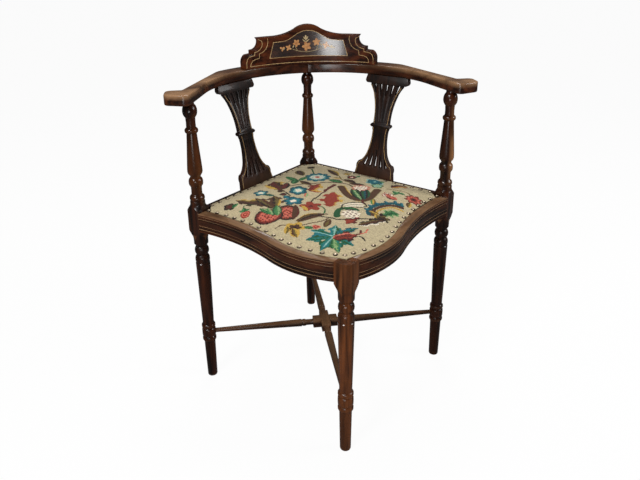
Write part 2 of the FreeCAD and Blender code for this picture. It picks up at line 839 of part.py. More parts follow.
def splat_side():
    """The leaning board seen edge on, with its band, its cap and its two tenons."""
    foot = rail_line + splat_foot_face

    def face(height):
        return foot + splat_lean * (height - seat_height)

    band_middle = splat_band + splat_band_height / 2
    top = face(arm_height)
    return (Path(foot, seat_height)
            .line(face(splat_band), splat_band)
            .line(face(splat_band) - splat_band_proud / 2, splat_band)
            .line(face(band_middle) - splat_band_proud, band_middle)
            .line(face(splat_band_top) - splat_band_proud / 2, splat_band_top)
            .line(face(splat_band_top), splat_band_top)
            .line(face(splat_cap_low), splat_cap_low)
            .line(face(splat_cap_low) - splat_cap_proud, splat_cap_low)
            .line(top - splat_cap_proud, arm_height)
            .line(top + splat_tenon_set, arm_height)
            .line(top + splat_tenon_set, arm_height + splat_tenon_length)
            .line(top + splat_thickness, arm_height + splat_tenon_length)
            .line(top + splat_thickness, arm_height)
            .line(foot + splat_thickness, seat_height)
            .line(foot + splat_thickness, seat_height - splat_tenon_length)
            .line(foot + splat_tenon_set, seat_height - splat_tenon_length)
            .line(foot + splat_tenon_set, seat_height)
            .close())


def splat_half(path, middle, side, upward):
    """One side of the splat's outline, followed up or down."""

    def low(share):
        return splat_foot_top + splat_free * share

    edges = [(splat_tenon_half, seat_height - splat_tenon_length, None),
             (splat_tenon_half, seat_height, None),
             (splat_foot, seat_height, None),
             (splat_foot - 3.5, splat_foot_top - splat_foot_height / 2, None),
             (splat_foot - 7, splat_foot_top - 2, (splat_foot - 3, splat_foot_top - 10)),
             (splat_foot - 13, splat_foot_top, None),
             (splat_waist + 4, low(0.17), (splat_foot - 23.5, low(0.07))),
             (splat_waist, low(0.41), (splat_waist + 0.8, low(0.26))),
             (splat_waist + 1.5, low(0.43), None),
             (splat_waist + 1.5, splat_band, None),
             (splat_band_reach - 3, splat_band, None),
             (splat_band_reach, splat_band + splat_band_height / 2, None),
             (splat_band_reach - 3, splat_band_top, None),
             (splat_waist + 1.5, splat_band_top, None),
             (splat_waist + 10, low(0.843), (splat_waist + 2.5, low(0.68))),
             (splat_fan, low(0.973), (splat_fan - 7, low(0.92))),
             (splat_fan, splat_cap_low, None),
             (splat_cap - 8, splat_cap_low, None),
             (splat_cap, splat_cap_low + splat_cap_depth * 0.4,
              (splat_cap - 2.4, splat_cap_low + splat_cap_depth * 0.1)),
             (splat_cap - 3, arm_height, None),
             (splat_tenon_half, arm_height, None),
             (splat_tenon_half, arm_height + splat_tenon_length, None)]
    order = range(len(edges)) if upward else reversed(range(len(edges)))
    for index in order:
        x, y, through = edges[index]
        if not upward:
            through = edges[index + 1][2] if index + 1 < len(edges) else None
        spot = (middle + x * side, y)
        if path is None:
            path = Path(*spot)
        elif through is None:
            path.line(*spot)
        else:
            path.arc(middle + through[0] * side, through[1], *spot)
    return path


# Lines that the flutes and slots follow: height, and step from one to the next
upper_line = [(splat_band_top + splat_free * 0.03, splat_waist * 0.34),
              (splat_foot_top + splat_free * 0.79, splat_waist * 0.53),
              (splat_cap_low - 0.5, splat_fan * 0.39)]
lower_line = [(splat_band - splat_free * 0.06, splat_waist * 0.34),
              (splat_foot_top + splat_free * 0.13, splat_waist * 0.49),
              (seat_height + splat_foot_height * 0.68, splat_foot * 0.289)]


def along(line, share, number):
    """A point on a flute's line, by the share of its last stretch that lies behind it."""
    (height, step), (last_height, last_step) = line[1:]
    return (step + (last_step - step) * share) * number, height + (last_height - height) * share


def splat_slots(middle):
    """Five slots that fan out under the cap and five that spread over the foot."""
    narrow = splat_slot * 0.32
    wide = splat_slot * 0.56
    paths = []
    for number in (-2, -1, 0, 1, 2):
        for line, shares in ((upper_line, (0.35, 0.33, 0.46)), (lower_line, (-0.16, 0.13, 0.4))):
            x, y = along(line, shares[abs(number)], number)
            end_x, end_y = along(line, 0.96, number)
            tip = y - narrow if line is upper_line else y + narrow
            paths.append(Path(middle + x - narrow, y).arc(middle + x, tip, middle + x + narrow, y)
                         .line(middle + end_x + wide, end_y).line(middle + end_x - wide, end_y).close())
    return paths


def splat_flutes(middle, rise):
    """Five shallow flutes above the band and five below it, on the leaning face."""
    paths = []
    for number in (-2, -1, 0, 1, 2):
        for line in (upper_line, lower_line):
            left = []
            right = []
            for height, step in line:
                half = (step - splat_rib) / 2
                left.append((middle + step * number - half, height * rise))
                right.append((middle + step * number + half, height * rise))
            path = Path(*left[0])
            for spot in left[1:] + right[::-1]:
                path.line(*spot)
            paths.append(path.close())
    return paths


def splat(name, side):
    body = new_body(name)
    middle = splat_shift * side
    edge_on = draw(body, name + "_side", "YZ_Plane", [splat_side()], middle)
    pad(body, name + "_board", edge_on, splat_cap * 2.2, both=True)

    # The flutes are sunk square to the leaning face
    rise = root(1 + splat_lean * splat_lean)
    lean = math.degrees(math.atan(splat_lean.number))
    flutes = draw(body, name + "_flute_plan", "XZ_Plane", splat_flutes(middle, rise),
                  splat_lean * seat_height - rail_line - splat_foot_face, Rotation(Vector(-1, 0, 0), lean))
    flutes.setExpression("AttachmentOffset.Rotation.Angle", "atan(%s)" % splat_lean.text)
    pocket(body, name + "_flutes", flutes, splat_flute)

    outside = box_path(-splat_cap * 2, seat_height - splat_foot, splat_cap * 2, arm_height + splat_foot)
    outline = splat_half(splat_half(None, middle, 1, True), middle, -1, False).close()
    pocket(body, name + "_cut", draw(body, name + "_outline", "XZ_Plane", [outside, outline]))
    slots = draw(body, name + "_slot_plan", "XZ_Plane", splat_slots(middle))
    pocket(body, name + "_slots", slots)
    place(body, 0, 0, 0, -45 * side)


splat("left_splat", -1)
splat("right_splat", 1)


# Crossed stretchers, halved over each other in the middle
def stretcher(name, degrees, notch_above):
    body = new_body(name)
    tip = post_reach - collar_radius + stretcher_end_depth
    bead_end = stretcher_bead_place + stretcher_bead_width
    half = [(stretcher_bead_place, stretcher_neck_radius),
            (stretcher_bead_place + 1.5, stretcher_bead_radius),
            (bead_end - 1.5, stretcher_bead_radius),
            (bead_end, stretcher_neck_radius),
            (bead_end + 2, stretcher_swell_radius),
            (tip - stretcher_end_depth, stretcher_end_radius),
            (tip, stretcher_end_radius)]
    path = Path(-tip, 0)
    for x, y in reversed(half):
        path.line(-x, y)
    for x, y in half:
        path.line(x, y)
    path.line(tip, 0).close()
    revolve(body, name + "_turning", draw(body, name + "_profile", "XZ_Plane", [path]), "H_Axis")
    side = stretcher_block / 2
    block = draw(body, name + "_block_plan", "XY_Plane",
                 [box_path(-stretcher_block_half, -side, stretcher_block_half, side)])
    pad(body, name + "_block", block, stretcher_block, both=True)
    gap = side + joint_clearance
    notch = draw(body, name + "_notch_plan", "XY_Plane", [box_path(-gap, -gap * 2, gap, gap * 2)])
    pocket(body, name + "_notch", notch, stretcher_block, back=notch_above)
    place(body, 0, 0, stretcher_height, degrees)


stretcher("side_stretcher", 0, True)
stretcher("front_back_stretcher", 90, False)


# Corner braces, glued and screwed into the corners under the seat
def screw(name, length):
    """A screw along its own Z, with the head's top at the origin and the point below."""
    shank = doc.addObject("Part::Cylinder", name + "_shank")
    bind(shank, "Radius", screw_radius)
    bind(shank, "Height", length)
    shank.Placement.Base = Vector(0, 0, -length.number)
    shank.setExpression("Placement.Base.z", (-length).text)
    head = doc.addObject("Part::Cylinder", name + "_head")
    bind(head, "Radius", screw_head_radius)
    bind(head, "Height", screw_head_height)
    head.Placement.Base = Vector(0, 0, -screw_head_height.number)
    head.setExpression("Placement.Base.z", (-screw_head_height).text)
    whole = doc.addObject("Part::MultiFuse", name)
    whole.Shapes = [shank, head]
    return whole


def group(name, pieces):
    node = doc.addObject("Part::Compound", name)
    node.Label = name
    node.Links = pieces
    nodes.append(node)


brace_screws = []
inner_corner = post_reach - block_corner
screw_head_at = half_block - screw_bite + brace_screw_length
for name, x, y, degrees in (("left", -1, 0, 90), ("right", 1, 0, -90), ("back", 0, 1, 0), ("front", 0, -1, 180)):
    brace = new_body(name + "_corner_brace")
    start = half_block
    far = start + brace_leg
    lip = start + brace_nose
    path = (Path(lip, start).line(far, start).line(far, lip).line(lip, far).line(start, far)
            .line(start, lip).close())
    pad(brace, name + "_brace_blank", draw(brace, name + "_brace_plan", "XY_Plane", [path], brace_bottom),
        brace_height)
    turn = -135 + degrees
    spots = {"a": (low_screw, "XZ_Plane", -1), "b": (high_screw, "YZ_Plane", 1)}
    for letter, (height, role, sign) in spots.items():
        across = [(brace_screw_place, height)]
        hole = circle(brace, name + "_brace_hole_" + letter, role, across, screw_radius + joint_clearance)
        pocket(brace, name + "_brace_bore_" + letter, hole, back=letter == "b")
        head_seat = (screw_head_at - screw_head_height - joint_clearance) * sign
        sink = circle(brace, name + "_brace_sink_" + letter, role, across,
                      screw_head_radius + joint_clearance, head_seat)
        pocket(brace, name + "_brace_recess_" + letter, sink, back=letter == "b")
        fitting = screw("%s_brace_screw_%s" % (name, letter), brace_screw_length)
        local = (brace_screw_place, screw_head_at) if letter == "a" else (screw_head_at, brace_screw_place)
        across_turn = plain(turn)
        spot_x = local[0] * cosine(across_turn) - local[1] * sine(across_turn) + post_reach * x
        spot_y = local[0] * sine(across_turn) + local[1] * cosine(across_turn) + post_reach * y
        tip = Rotation(Vector(1, 0, 0), -90) if letter == "a" else Rotation(Vector(0, 1, 0), 90)
        place(fitting, spot_x, spot_y, height, Rotation(UP, turn) * tip)
        brace_screws.append(fitting)
    place(brace, post_reach * x, post_reach * y, 0, turn)
group("corner_brace_screws", brace_screws)

# Dowels across the arm joint, and the screws up into the crest rail
arm_dowels = []
for name, sign in (("inner_dowel", -1), ("outer_dowel", 1)):
    dowel = doc.addObject("Part::Cylinder", name)
    bind(dowel, "Radius", arm_dowel_radius)
    bind(dowel, "Height", arm_dowel_length)
    place(dowel, -arm_dowel_length / 2, post_reach + arm_dowel_spread / 2 * sign,
          arm_height + arm_thickness / 2, Rotation(Vector(0, 1, 0), 90))
    arm_dowels.append(dowel)
group("arm_joint_dowels", arm_dowels)
crest_screws = []
for number, (x, y) in enumerate(crest_spots):
    fitting = screw("crest_screw_%d" % number, crest_screw_length)
    place(fitting, x, y, arm_height, Rotation(Vector(1, 0, 0), 180))
    crest_screws.append(fitting)
group("crest_rail_screws", crest_screws)

# Webbing: three strips each way, in the rebates of the rails
strip_half = rail_line - half_block + web_hold
for name, degrees, level in (("lower", 45, 0), ("upper", -45, 1)):
    for number, word in ((-1, "left"), (0, "middle"), (1, "right")):
        strip = new_body("%s_%s_web" % (name, word))
        middle = web_spacing * number
        path = box_path(-strip_half, middle - web_width / 2, strip_half, middle + web_width / 2)
        plan = draw(strip, strip.Label + "_plan", "XY_Plane", [path], web_bottom + web_thickness * level)
        pad(strip, strip.Label + "_strip", plan, web_thickness)
        place(strip, 0, 0, 0, degrees)

# Canvas over the webbing
canvas = new_body("seat_canvas")
canvas_bottom = web_bottom + web_thickness * 2 + soft_clearance / 2
canvas_plan = draw(canvas, "canvas_plan", "XY_Plane", [square(strip_half)], canvas_bottom)
pad(canvas, "canvas_sheet", canvas_plan, canvas_thickness)
post_line = post_reach - block_corner - post_border


def seat_outline(inset):
    """The upholstery's outline, in by an amount from the rails' outer faces."""
    right = [(post_reach - (s - y) / ROOT_TWO, -(s + y) / ROOT_TWO) for s, y in serpentine(inset)]
    start, hollow, turn, belly, end = right
    back = back_rail_face - back_border - (inset - front_border)
    side = (post_reach + (back - rail_start) / ROOT_TWO, (back + rail_start) / ROOT_TWO)
    return (Path(*end)
            .arc(*belly, *turn)
            .arc(*hollow, *start)
            .line(*side)
            .line(side[1], side[0])
            .line(-side[1], side[0])
            .line(-side[0], side[1])
            .line(-start[0], start[1])
            .arc(-hollow[0], hollow[1], -turn[0], turn[1])
            .arc(-belly[0], belly[1], -end[0], end[1])
            .arc_home(0, end[1] - end[0] * 0.6))


def clear_posts(body, name, line, sides=("right", "left", "back")):
    """Cuts a soft piece back from the posts that rise beside it."""
    far = post_reach * 2
    paths = {"right": box_path(line, -far, far, far), "left": box_path(-far, -far, -line, far),
             "back": box_path(-far, line, far, far), "front": box_path(-far, -far, far, -line)}
    for side in sides:
        plan = draw(body, "%s_%s_trim_plan" % (name, side), "XY_Plane", [paths[side]])
        pocket(body, "%s_%s_trim" % (name, side), plan, back=True)


def slab(name, inset, bottom, top):
    """A flat layer in the upholstery's outline."""
    body = doc.addObject("PartDesign::Body", name)
    plan = draw(body, name + "_plan", "XY_Plane", [seat_outline(inset)], bottom)
    pad(body, name + "_layer", plan, top - bottom)
    clear_posts(body, name, post_line - inset + front_border)
    return body


def crown(name, inset, bottom, top):
    """A soft form, flat below, whose top is part of a very large ball.

    The ball is turned so that its poles and its seam stay clear of the seat.
    """
    ball = doc.addObject("Part::Sphere", name + "_ball")
    bind(ball, "Radius", crown_radius)
    centre = Vector(0, 0, top.number - crown_radius.number)
    ball.Placement = Placement(centre, Rotation(Vector(1, 0.2, 0), 70))
    ball.setExpression("Placement.Base.z", (top - crown_radius).text)
    form = doc.addObject("Part::Common", name)
    form.Base = slab(name + "_slab", inset, bottom, top)
    form.Tool = ball
    return form


def keep(thing, name):
    """Makes a boolean result a node of the chair and moves it into the chair's frame."""
    thing.Label = name
    nodes.append(thing)
    thing.Placement.Base.y = centre_shift.number
    thing.setExpression("Placement.Base.y", centre_shift.text)


clear_posts(canvas, "canvas", post_line, ("right", "left", "back", "front"))
place(canvas, 0, 0, 0)

crown_top = seat_height + seat_crown
inner_inset = front_border + hem_width + cover_thickness
stuffing = crown("stuffing", inner_inset, seat_height + soft_clearance, crown_top - cover_thickness)
keep(stuffing, "seat_stuffing")

outside = doc.addObject("Part::Fuse", "cover_outside")
outside.Base = crown("cover_dome", front_border + hem_width, seat_height, crown_top)
outside.Tool = slab("cover_hem", front_border, seat_height, seat_height + cover_thickness)
cover = doc.addObject("Part::Cut", "needlepoint_cover")
cover.Base = outside
cover.Tool = crown("cover_hollow", inner_inset - soft_clearance, seat_height - cover_thickness,
                   crown_top - cover_thickness + soft_clearance)
keep(cover, "needlepoint_cover")

doc.recompute()
for thing in doc.Objects:
    if "Invalid" in thing.State or "Error" in thing.State:
        raise RuntimeError("%s did not build: %s" % (thing.Name, thing.State))
for node in nodes:
    if node.Shape.isNull() or not node.Shape.isValid():
        raise RuntimeError("%s has no valid shape" % node.Label)
os.makedirs("parts", exist_ok=True)
for node in nodes:
    node.Shape.exportStep("parts/%s.step" % node.Label)
    print("%-24s %2d solids %9.0f mm3" % (node.Label, len(node.Shape.Solids), node.Shape.Volume))
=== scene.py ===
"""Corner chair: mahogany frame with turned posts, inlaid crest rail and a needlework seat."""
import math

import bmesh
import bpy
import numpy as np
from mathutils import Matrix, Vector


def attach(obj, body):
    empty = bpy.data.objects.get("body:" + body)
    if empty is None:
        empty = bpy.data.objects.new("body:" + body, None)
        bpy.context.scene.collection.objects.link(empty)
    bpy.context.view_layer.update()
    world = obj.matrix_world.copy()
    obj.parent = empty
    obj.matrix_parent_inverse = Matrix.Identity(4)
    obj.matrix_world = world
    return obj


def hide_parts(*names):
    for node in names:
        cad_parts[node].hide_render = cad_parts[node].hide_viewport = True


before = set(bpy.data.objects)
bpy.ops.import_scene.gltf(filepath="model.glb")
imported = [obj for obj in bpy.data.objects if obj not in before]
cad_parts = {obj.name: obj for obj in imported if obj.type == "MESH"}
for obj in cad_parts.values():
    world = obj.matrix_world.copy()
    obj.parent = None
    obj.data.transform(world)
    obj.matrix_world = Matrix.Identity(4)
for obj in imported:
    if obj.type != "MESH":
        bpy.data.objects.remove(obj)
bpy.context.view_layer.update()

bpy.ops.object.select_all(action="DESELECT")
scene = bpy.context.scene
scene.view_settings.view_transform = "Standard"

# Camera
# It stands where the photograph was taken from: a little left of the front leg, looking down.
view_azimuth = math.radians(-6.75)
view_elevation = math.radians(20.75)
view_roll = math.radians(-1.0)
back_of_camera = Vector((math.sin(view_azimuth) * math.cos(view_elevation),
                         -math.cos(view_azimuth) * math.cos(view_elevation), math.sin(view_elevation)))
level_right = (-back_of_camera).cross(Vector((0, 0, 1))).normalized()
level_up = level_right.cross(-back_of_camera)
camera_right = level_right * math.cos(view_roll) + level_up * math.sin(view_roll)
camera_up = level_up * math.cos(view_roll) - level_right * math.sin(view_roll)
camera_data = bpy.data.cameras.new("camera")
camera = bpy.data.objects.new("camera", camera_data)
scene.collection.objects.link(camera)
turn = Matrix((camera_right, camera_up, back_of_camera)).transposed().to_4x4()
camera.matrix_world = Matrix.Translation((-0.176, -1.2139, 0.9446)) @ turn
camera_data.sensor_width = 36
camera_data.lens = 33.64
camera_data.shift_x = 0.0172
camera_data.shift_y = -0.093
scene.camera = camera


# Studio
# A white floor that keeps the chair's soft shadow and lets a view from below through, a white
# room, three soft lamps, and a low one that brings out the panel in the crest rail.
def feed(node, inputs):
    """Gives each input of a node its value, or joins it to the output of another node."""
    for name, value in inputs.items():
        socket = node.inputs[name]
        if isinstance(value, bpy.types.NodeSocket):
            node.id_data.links.new(value, socket)
        elif socket.type == "RGBA":
            socket.default_value = (*value, 1)
        else:
            socket.default_value = value


def add(tree, kind, inputs=None, **settings):
    """Adds a node to a finish, sets and feeds it, and gives back its outputs."""
    node = tree.nodes.new("ShaderNode" + kind)
    for name, value in settings.items():
        setattr(node, name, value)
    feed(node, inputs or {})
    return node.outputs


def reckon(operation, *values):
    """Works out one value from others, the first of which is an output."""
    return add(values[0].id_data, "Math", dict(enumerate(values)), operation=operation)[0]


def spread(value, start, end, low=0.0, high=1.0):
    """Takes a value from the range between start and end to the range between low and high."""
    return add(value.id_data, "MapRange", {"Value": value, "From Min": start, "From Max": end,
                                           "To Min": low, "To Max": high})[0]


def new_finish(name):
    """A new material, with its node tree and its shader."""
    material = bpy.data.materials.new(name)
    material.use_nodes = True
    return material, material.node_tree, material.node_tree.nodes["Principled BSDF"]


bpy.ops.mesh.primitive_plane_add(size=60, location=(0, 10, 0))
floor = bpy.context.object
floor.name = "floor"
floor_paper, tree, paper = new_finish("floor_paper")
feed(paper, {"Base Color": (0.8, 0.8, 0.8), "Roughness": 0.9, "Specular IOR Level": 0.0})
rays = add(tree, "LightPath")
whiteness = spread(rays["Is Camera Ray"], 0, 1, 0.05, 1.0)
glow = add(tree, "Emission", {"Color": (1, 1, 1), "Strength": whiteness})[0]
eye_share = reckon("MULTIPLY", rays["Is Camera Ray"], 0.95)
gloss_share = reckon("MULTIPLY", rays["Is Glossy Ray"], 0.9)
white_share = reckon("MAXIMUM", eye_share, gloss_share)
from_above = add(tree, "MixShader", {0: white_share, 1: paper.outputs[0], 2: glow})[0]
see_through = add(tree, "BsdfTransparent")[0]
from_below = add(tree, "NewGeometry")["Backfacing"]
both_sides = add(tree, "MixShader", {0: from_below, 1: from_above, 2: see_through})[0]
feed(tree.nodes["Material Output"], {"Surface": both_sides})
floor.data.materials.append(floor_paper)

room = bpy.data.worlds.new("room")
scene.world = room
room.use_nodes = True
rays = add(room.node_tree, "LightPath")
seen = reckon("MAXIMUM", rays["Is Camera Ray"], rays["Is Transmission Ray"])
strength = reckon("MULTIPLY_ADD", rays["Is Glossy Ray"], -0.23, spread(seen, 0, 1, 0.3, 1.0))
feed(room.node_tree.nodes["Background"], {"Color": (1, 1, 1), "Strength": strength})

seat_middle = (0, 0, 0.45)
for name, place, aim, width, height, power in (
        ("key_light", (-1.6, -1.7, 2.3), seat_middle, 0.7, 0.7, 52),
        ("side_light", (2.2, -0.6, 1.5), seat_middle, 0.8, 0.8, 26),
        ("top_light", (0.1, 0.9, 2.3), seat_middle, 0.8, 0.8, 20),
        ("panel_light", (-0.42, -1.3, 0.53), (0.03, 0.25, 0.74), 0.5, 0.28, 3.4)):
    lamp_data = bpy.data.lights.new(name, "AREA")
    lamp_data.shape = "RECTANGLE"
    lamp_data.size = width
    lamp_data.size_y = height
    lamp_data.energy = power
    lamp = bpy.data.objects.new(name, lamp_data)
    scene.collection.objects.link(lamp)
    lamp.location = place
    lamp.rotation_euler = (Vector(aim) - Vector(place)).to_track_quat("-Z", "Y").to_euler()


# Turned posts
# Each post is one length of mahogany, turned between centres and polished nearly black, with a
# square block left in the middle for the seat rails. The front leg stops level with the seat.
def noise(vector, scale, detail, roughness=0.5):
    """An uneven field, as of grain, dirt or wear."""
    settings = {"Vector": vector, "Scale": scale, "Detail": detail, "Roughness": roughness}
    return add(vector.id_data, "TexNoise", settings)["Fac"]


def two_tones(value, start, dark, end, light):
    """Goes from a dark tone to a light one as a value goes from start to end."""
    ramp = value.id_data.nodes.new("ShaderNodeValToRGB")
    for tone, level, colour in zip(ramp.color_ramp.elements, (start, end), (dark, light)):
        tone.position = level
        tone.color = (*colour, 1)
    feed(ramp, {"Fac": value})
    return ramp.outputs["Color"]


def layer(tree, share, below, above, blend="MIX"):
    """Lays one colour over another by a share."""
    return add(tree, "Mix", {0: share, 6: below, 7: above}, data_type="RGBA", blend_type=blend)[2]


def relief(height, strength, distance):
    """Raises and sinks a surface slightly, as pores, threads or tool marks do."""
    return add(height.id_data, "Bump", {"Height": height, "Strength": strength, "Distance": distance})[0]


def mahogany(name, grain_axis, dark, light, wear_and_light_tone, rubs_and_lit_sides=(), rub_and_light=0.0, grain_turn=0.0, roughness=0.22,
             turned=False, edges=()):
    """Old polish over pored, streaky wood, with the polish rubbed through where the rubs meet.

    A rub is an axis, a place where it is nothing and a place where it is full. On the right post
    the rubs also paint the light that falls on its lit side. Edges are heights of moulded edges,
    which get a thin pale line: worn polish, and a painted highlight where light catches the bead.
    """
    material, tree, wood = new_finish(name)
    place = add(tree, "TexCoord")["Object"]
    where = add(tree, "SeparateXYZ", {0: place})

    def figure(across, length, detail, rough):
        """A field drawn out along the grain, with so many marks to a metre each way."""
        marks = [1 / across] * 3
        marks["XYZ".index(grain_axis)] = 1 / length
        turn = (0, 0, math.radians(grain_turn))
        along = add(tree, "Mapping", {"Vector": place, "Rotation": turn, "Scale": marks},
                    vector_type="TEXTURE")[0]
        return noise(along, 1.0, detail, rough)

    pores = figure(420.0, 16.0, 5.0, 0.6)
    streaks = figure(70.0, 3.5, 3.0, 0.55)
    patches = figure(16.0, 11.0, 3.0, 0.6)
    colour = two_tones(streaks, 0.4, dark, 0.66, light)
    colour = layer(tree, spread(pores, 0.55, 0.72, 0, 0.6), colour, (0.3, 0.25, 0.22), "MULTIPLY")
    colour = layer(tree, spread(patches, 0.42, 0.66, 0, 0.55), colour, (0.35, 0.27, 0.22), "MULTIPLY")
    if turned:
        # Beads and rings lose their polish first, and the hollows beside them are darker
        bend = add(tree, "NewGeometry")["Pointiness"]
        colour = layer(tree, spread(bend, 0.53, 0.62, 0, 0.35), colour, wear_and_light_tone)
        colour = layer(tree, spread(bend, 0.48, 0.42, 0, 0.7), colour, (0.2, 0.17, 0.15), "MULTIPLY")
    # Thin pale lines at the moulded edges: a painted highlight where light catches each bead, broken up like
    # worn polish
    for height in edges:
        near = reckon("COMPARE", where["Z"], height, 0.0006)
        faint = reckon("MULTIPLY", near, spread(patches, 0.3, 0.62, 0.75, 0.25))
        colour = layer(tree, faint, colour, wear_and_light_tone)
    # Rubs take the polish through to paler wood; on the right post they also paint its lit side lighter
    if rubs_and_lit_sides:
        bare_and_lit = spread(patches, 0.3, 0.56, 0.15, rub_and_light)
        for axis, start, end in rubs_and_lit_sides:
            bare_and_lit = reckon("MULTIPLY", bare_and_lit, spread(where[axis], start, end))
        half_worn_and_lit = (wear_and_light_tone[0] * 0.6, wear_and_light_tone[1] * 0.5, wear_and_light_tone[2] * 0.45)
        colour = layer(tree, bare_and_lit, colour, layer(tree, streaks, half_worn_and_lit, wear_and_light_tone))
    shine = spread(patches, 0.3, 0.7, roughness - 0.07, roughness + 0.16)
    feed(wood, {"Base Color": colour, "Roughness": shine, "Specular IOR Level": 0.27, "Coat Weight": 0.16,
                "Coat Roughness": 0.13, "Normal": relief(pores, 0.03, 0.0003)})
    return material


black_brown = (0.0055, 0.0019, 0.001)
red_brown = (0.046, 0.0108, 0.0028)
orange_brown = (0.21, 0.068, 0.014)
post_wood = mahogany("post_mahogany", "Z", black_brown, red_brown, orange_brown,
                     (("Z", 0.64, 0.54), ("Z", 0.44, 0.5)), 0.32, turned=True)
# The right post's right side is painted lighter and warmer, where the light from that side falls on it, with
# some worn polish in it too
right_post_lit_side_wood = mahogany("right_post_lit_side_mahogany", "Z", black_brown, red_brown, (0.30, 0.14, 0.05),
                           (("X", 0.2735, 0.283), ("Z", 0.665, 0.6), ("Z", 0.44, 0.5)), 1.0, turned=True)
leg_wood = mahogany("front_leg_mahogany", "Z", (0.018, 0.0055, 0.0018), (0.125, 0.037, 0.0095), orange_brown,
                    (("Z", 0.2, 0.03),), 0.22, turned=True)

# The turner's rod: heights above the floor and the radius at each, in millimetres
leg_turning = [
    (0, 10.5), (2, 11.2), (50, 12), (97.5, 12.7), (98.5, 14.2), (101.5, 15.7), (105.5, 15.8), (108.5, 14.6),
    (110, 13.4), (111.5, 14.7), (113.5, 15.7), (121, 15.9), (128.5, 15.7), (130.5, 14.7), (132, 13.4),
    (133.5, 14.6), (136.5, 15.8), (140.5, 15.7), (143, 14.2), (144, 12.8), (190, 13.8), (245, 14.9),
    (303, 16), (304.5, 14.8), (306, 15), (308.5, 15.8), (312, 16.1), (316, 16), (319.5, 15), (322.5, 13),
    (324, 12.2), (325.5, 12.4), (327.5, 14), (331, 15.3), (335, 15.7), (339, 15.2), (342.5, 13.8),
    (344.5, 12.4), (347, 12.6), (349, 13.6), (351, 15.4), (353, 15.7), (360, 15.8), (364, 15.8), (370, 17),
    (377, 20.2), (384, 23.4)]
spindle_turning = [
    (432, 23.4), (437, 20.5), (442, 17.2), (446, 16), (448.5, 16.2), (452, 16), (453.5, 14.7), (455, 14.8),
    (457, 16), (460, 16.2), (463.5, 15.4), (466, 13.2), (468, 11.7), (476, 11.5), (485, 11.7), (487, 13),
    (489.5, 14.6), (493, 15.3), (498, 15.3), (502, 14.4), (505, 12.4), (506.5, 10.9), (509, 11.2),
    (512, 13), (515, 15), (519, 16.1), (525, 16), (535, 15.4), (560, 13.6), (585, 11.8), (603, 10.6),
    (604, 12.2), (605.5, 13.4), (608, 14.1), (611, 13.9), (613.5, 12), (615, 10.1), (625, 9.8), (636, 10.2),
    (638.5, 12.2), (642, 14.1), (647, 15.2), (650, 15.3), (654, 15), (659, 13.6), (662, 11.8), (664, 10.2),
    (670, 9.9)]
post_reach = 0.275
frame_shift = -0.003
block_side = 0.034


def pick(piece):
    """Leaves one piece selected and active for the tools that follow."""
    bpy.ops.object.select_all(action="DESELECT")
    piece.select_set(True)
    bpy.context.view_layer.objects.active = piece


def turn_post(name, x, y, profile, material, round_front=False):
    """Turns a post ring by ring, then planes its block square at 45 degrees to the chair."""
    bpy.ops.object.select_all(action="DESELECT")
    rings = [(height / 1000, radius / 1000) for height, radius in profile]
    last_height, last_radius = rings[0]
    bpy.ops.mesh.primitive_circle_add(vertices=40, radius=last_radius, fill_type="NGON")
    post = bpy.context.object
    post.name = name + "_turned"
    bpy.ops.object.mode_set(mode="EDIT")
    bpy.ops.mesh.select_all(action="SELECT")
    for height, radius in rings[1:]:
        bpy.ops.mesh.extrude_region_move(TRANSFORM_OT_translate={"value": (0, 0, height - last_height)})
        grow = radius / last_radius
        bpy.ops.transform.resize(value=(grow, grow, 1), center_override=(0, 0, height))
        last_height, last_radius = height, radius
    bpy.ops.mesh.select_all(action="SELECT")
    bpy.ops.mesh.normals_make_consistent(inside=False)
    bpy.ops.object.mode_set(mode="OBJECT")
    bpy.ops.mesh.primitive_cube_add(size=1, location=(0, 0, 0.35))
    plane_off = bpy.context.object
    plane_off.scale = (block_side, block_side, 0.8)
    plane_off.rotation_euler = (0, 0, math.radians(45))
    bpy.ops.object.transform_apply(location=True, rotation=True, scale=True)
    if round_front:
        group = plane_off.vertex_groups.new(name="front")
        group.add([v.index for v in plane_off.data.vertices if v.co.y < -0.02], 1.0, "REPLACE")
        rounding = plane_off.modifiers.new("rounding", "BEVEL")
        rounding.width = 0.0165
        rounding.segments = 8
        rounding.limit_method = "VGROUP"
        rounding.vertex_group = "front"
        bpy.ops.object.modifier_apply(modifier="rounding")
    pick(post)
    squaring = post.modifiers.new("squaring", "BOOLEAN")
    squaring.operation = "INTERSECT"
    squaring.solver = "EXACT"
    squaring.object = plane_off
    bpy.ops.object.modifier_apply(modifier="squaring")
    bpy.data.objects.remove(plane_off)
    post.data.transform(Matrix.Translation((x, y + frame_shift, 0)))
    bpy.ops.object.shade_smooth_by_angle(angle=math.radians(34))
    post.data.materials.clear()
    post.data.materials.append(material)
    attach(post, "root")
    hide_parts(name)


full_turning = leg_turning + [(384.5, 23.6), (431.5, 23.6)] + spindle_turning
turn_post("left_post", -post_reach, 0, full_turning, post_wood)
turn_post("right_post", post_reach, 0, full_turning, right_post_lit_side_wood)
turn_post("back_post", 0, post_reach, full_turning, post_wood)
front_turning = leg_turning + [(384.5, 23.6), (428.5, 23.6), (430, 22.6)]
turn_post("front_leg", 0, -post_reach, front_turning, leg_wood, True)


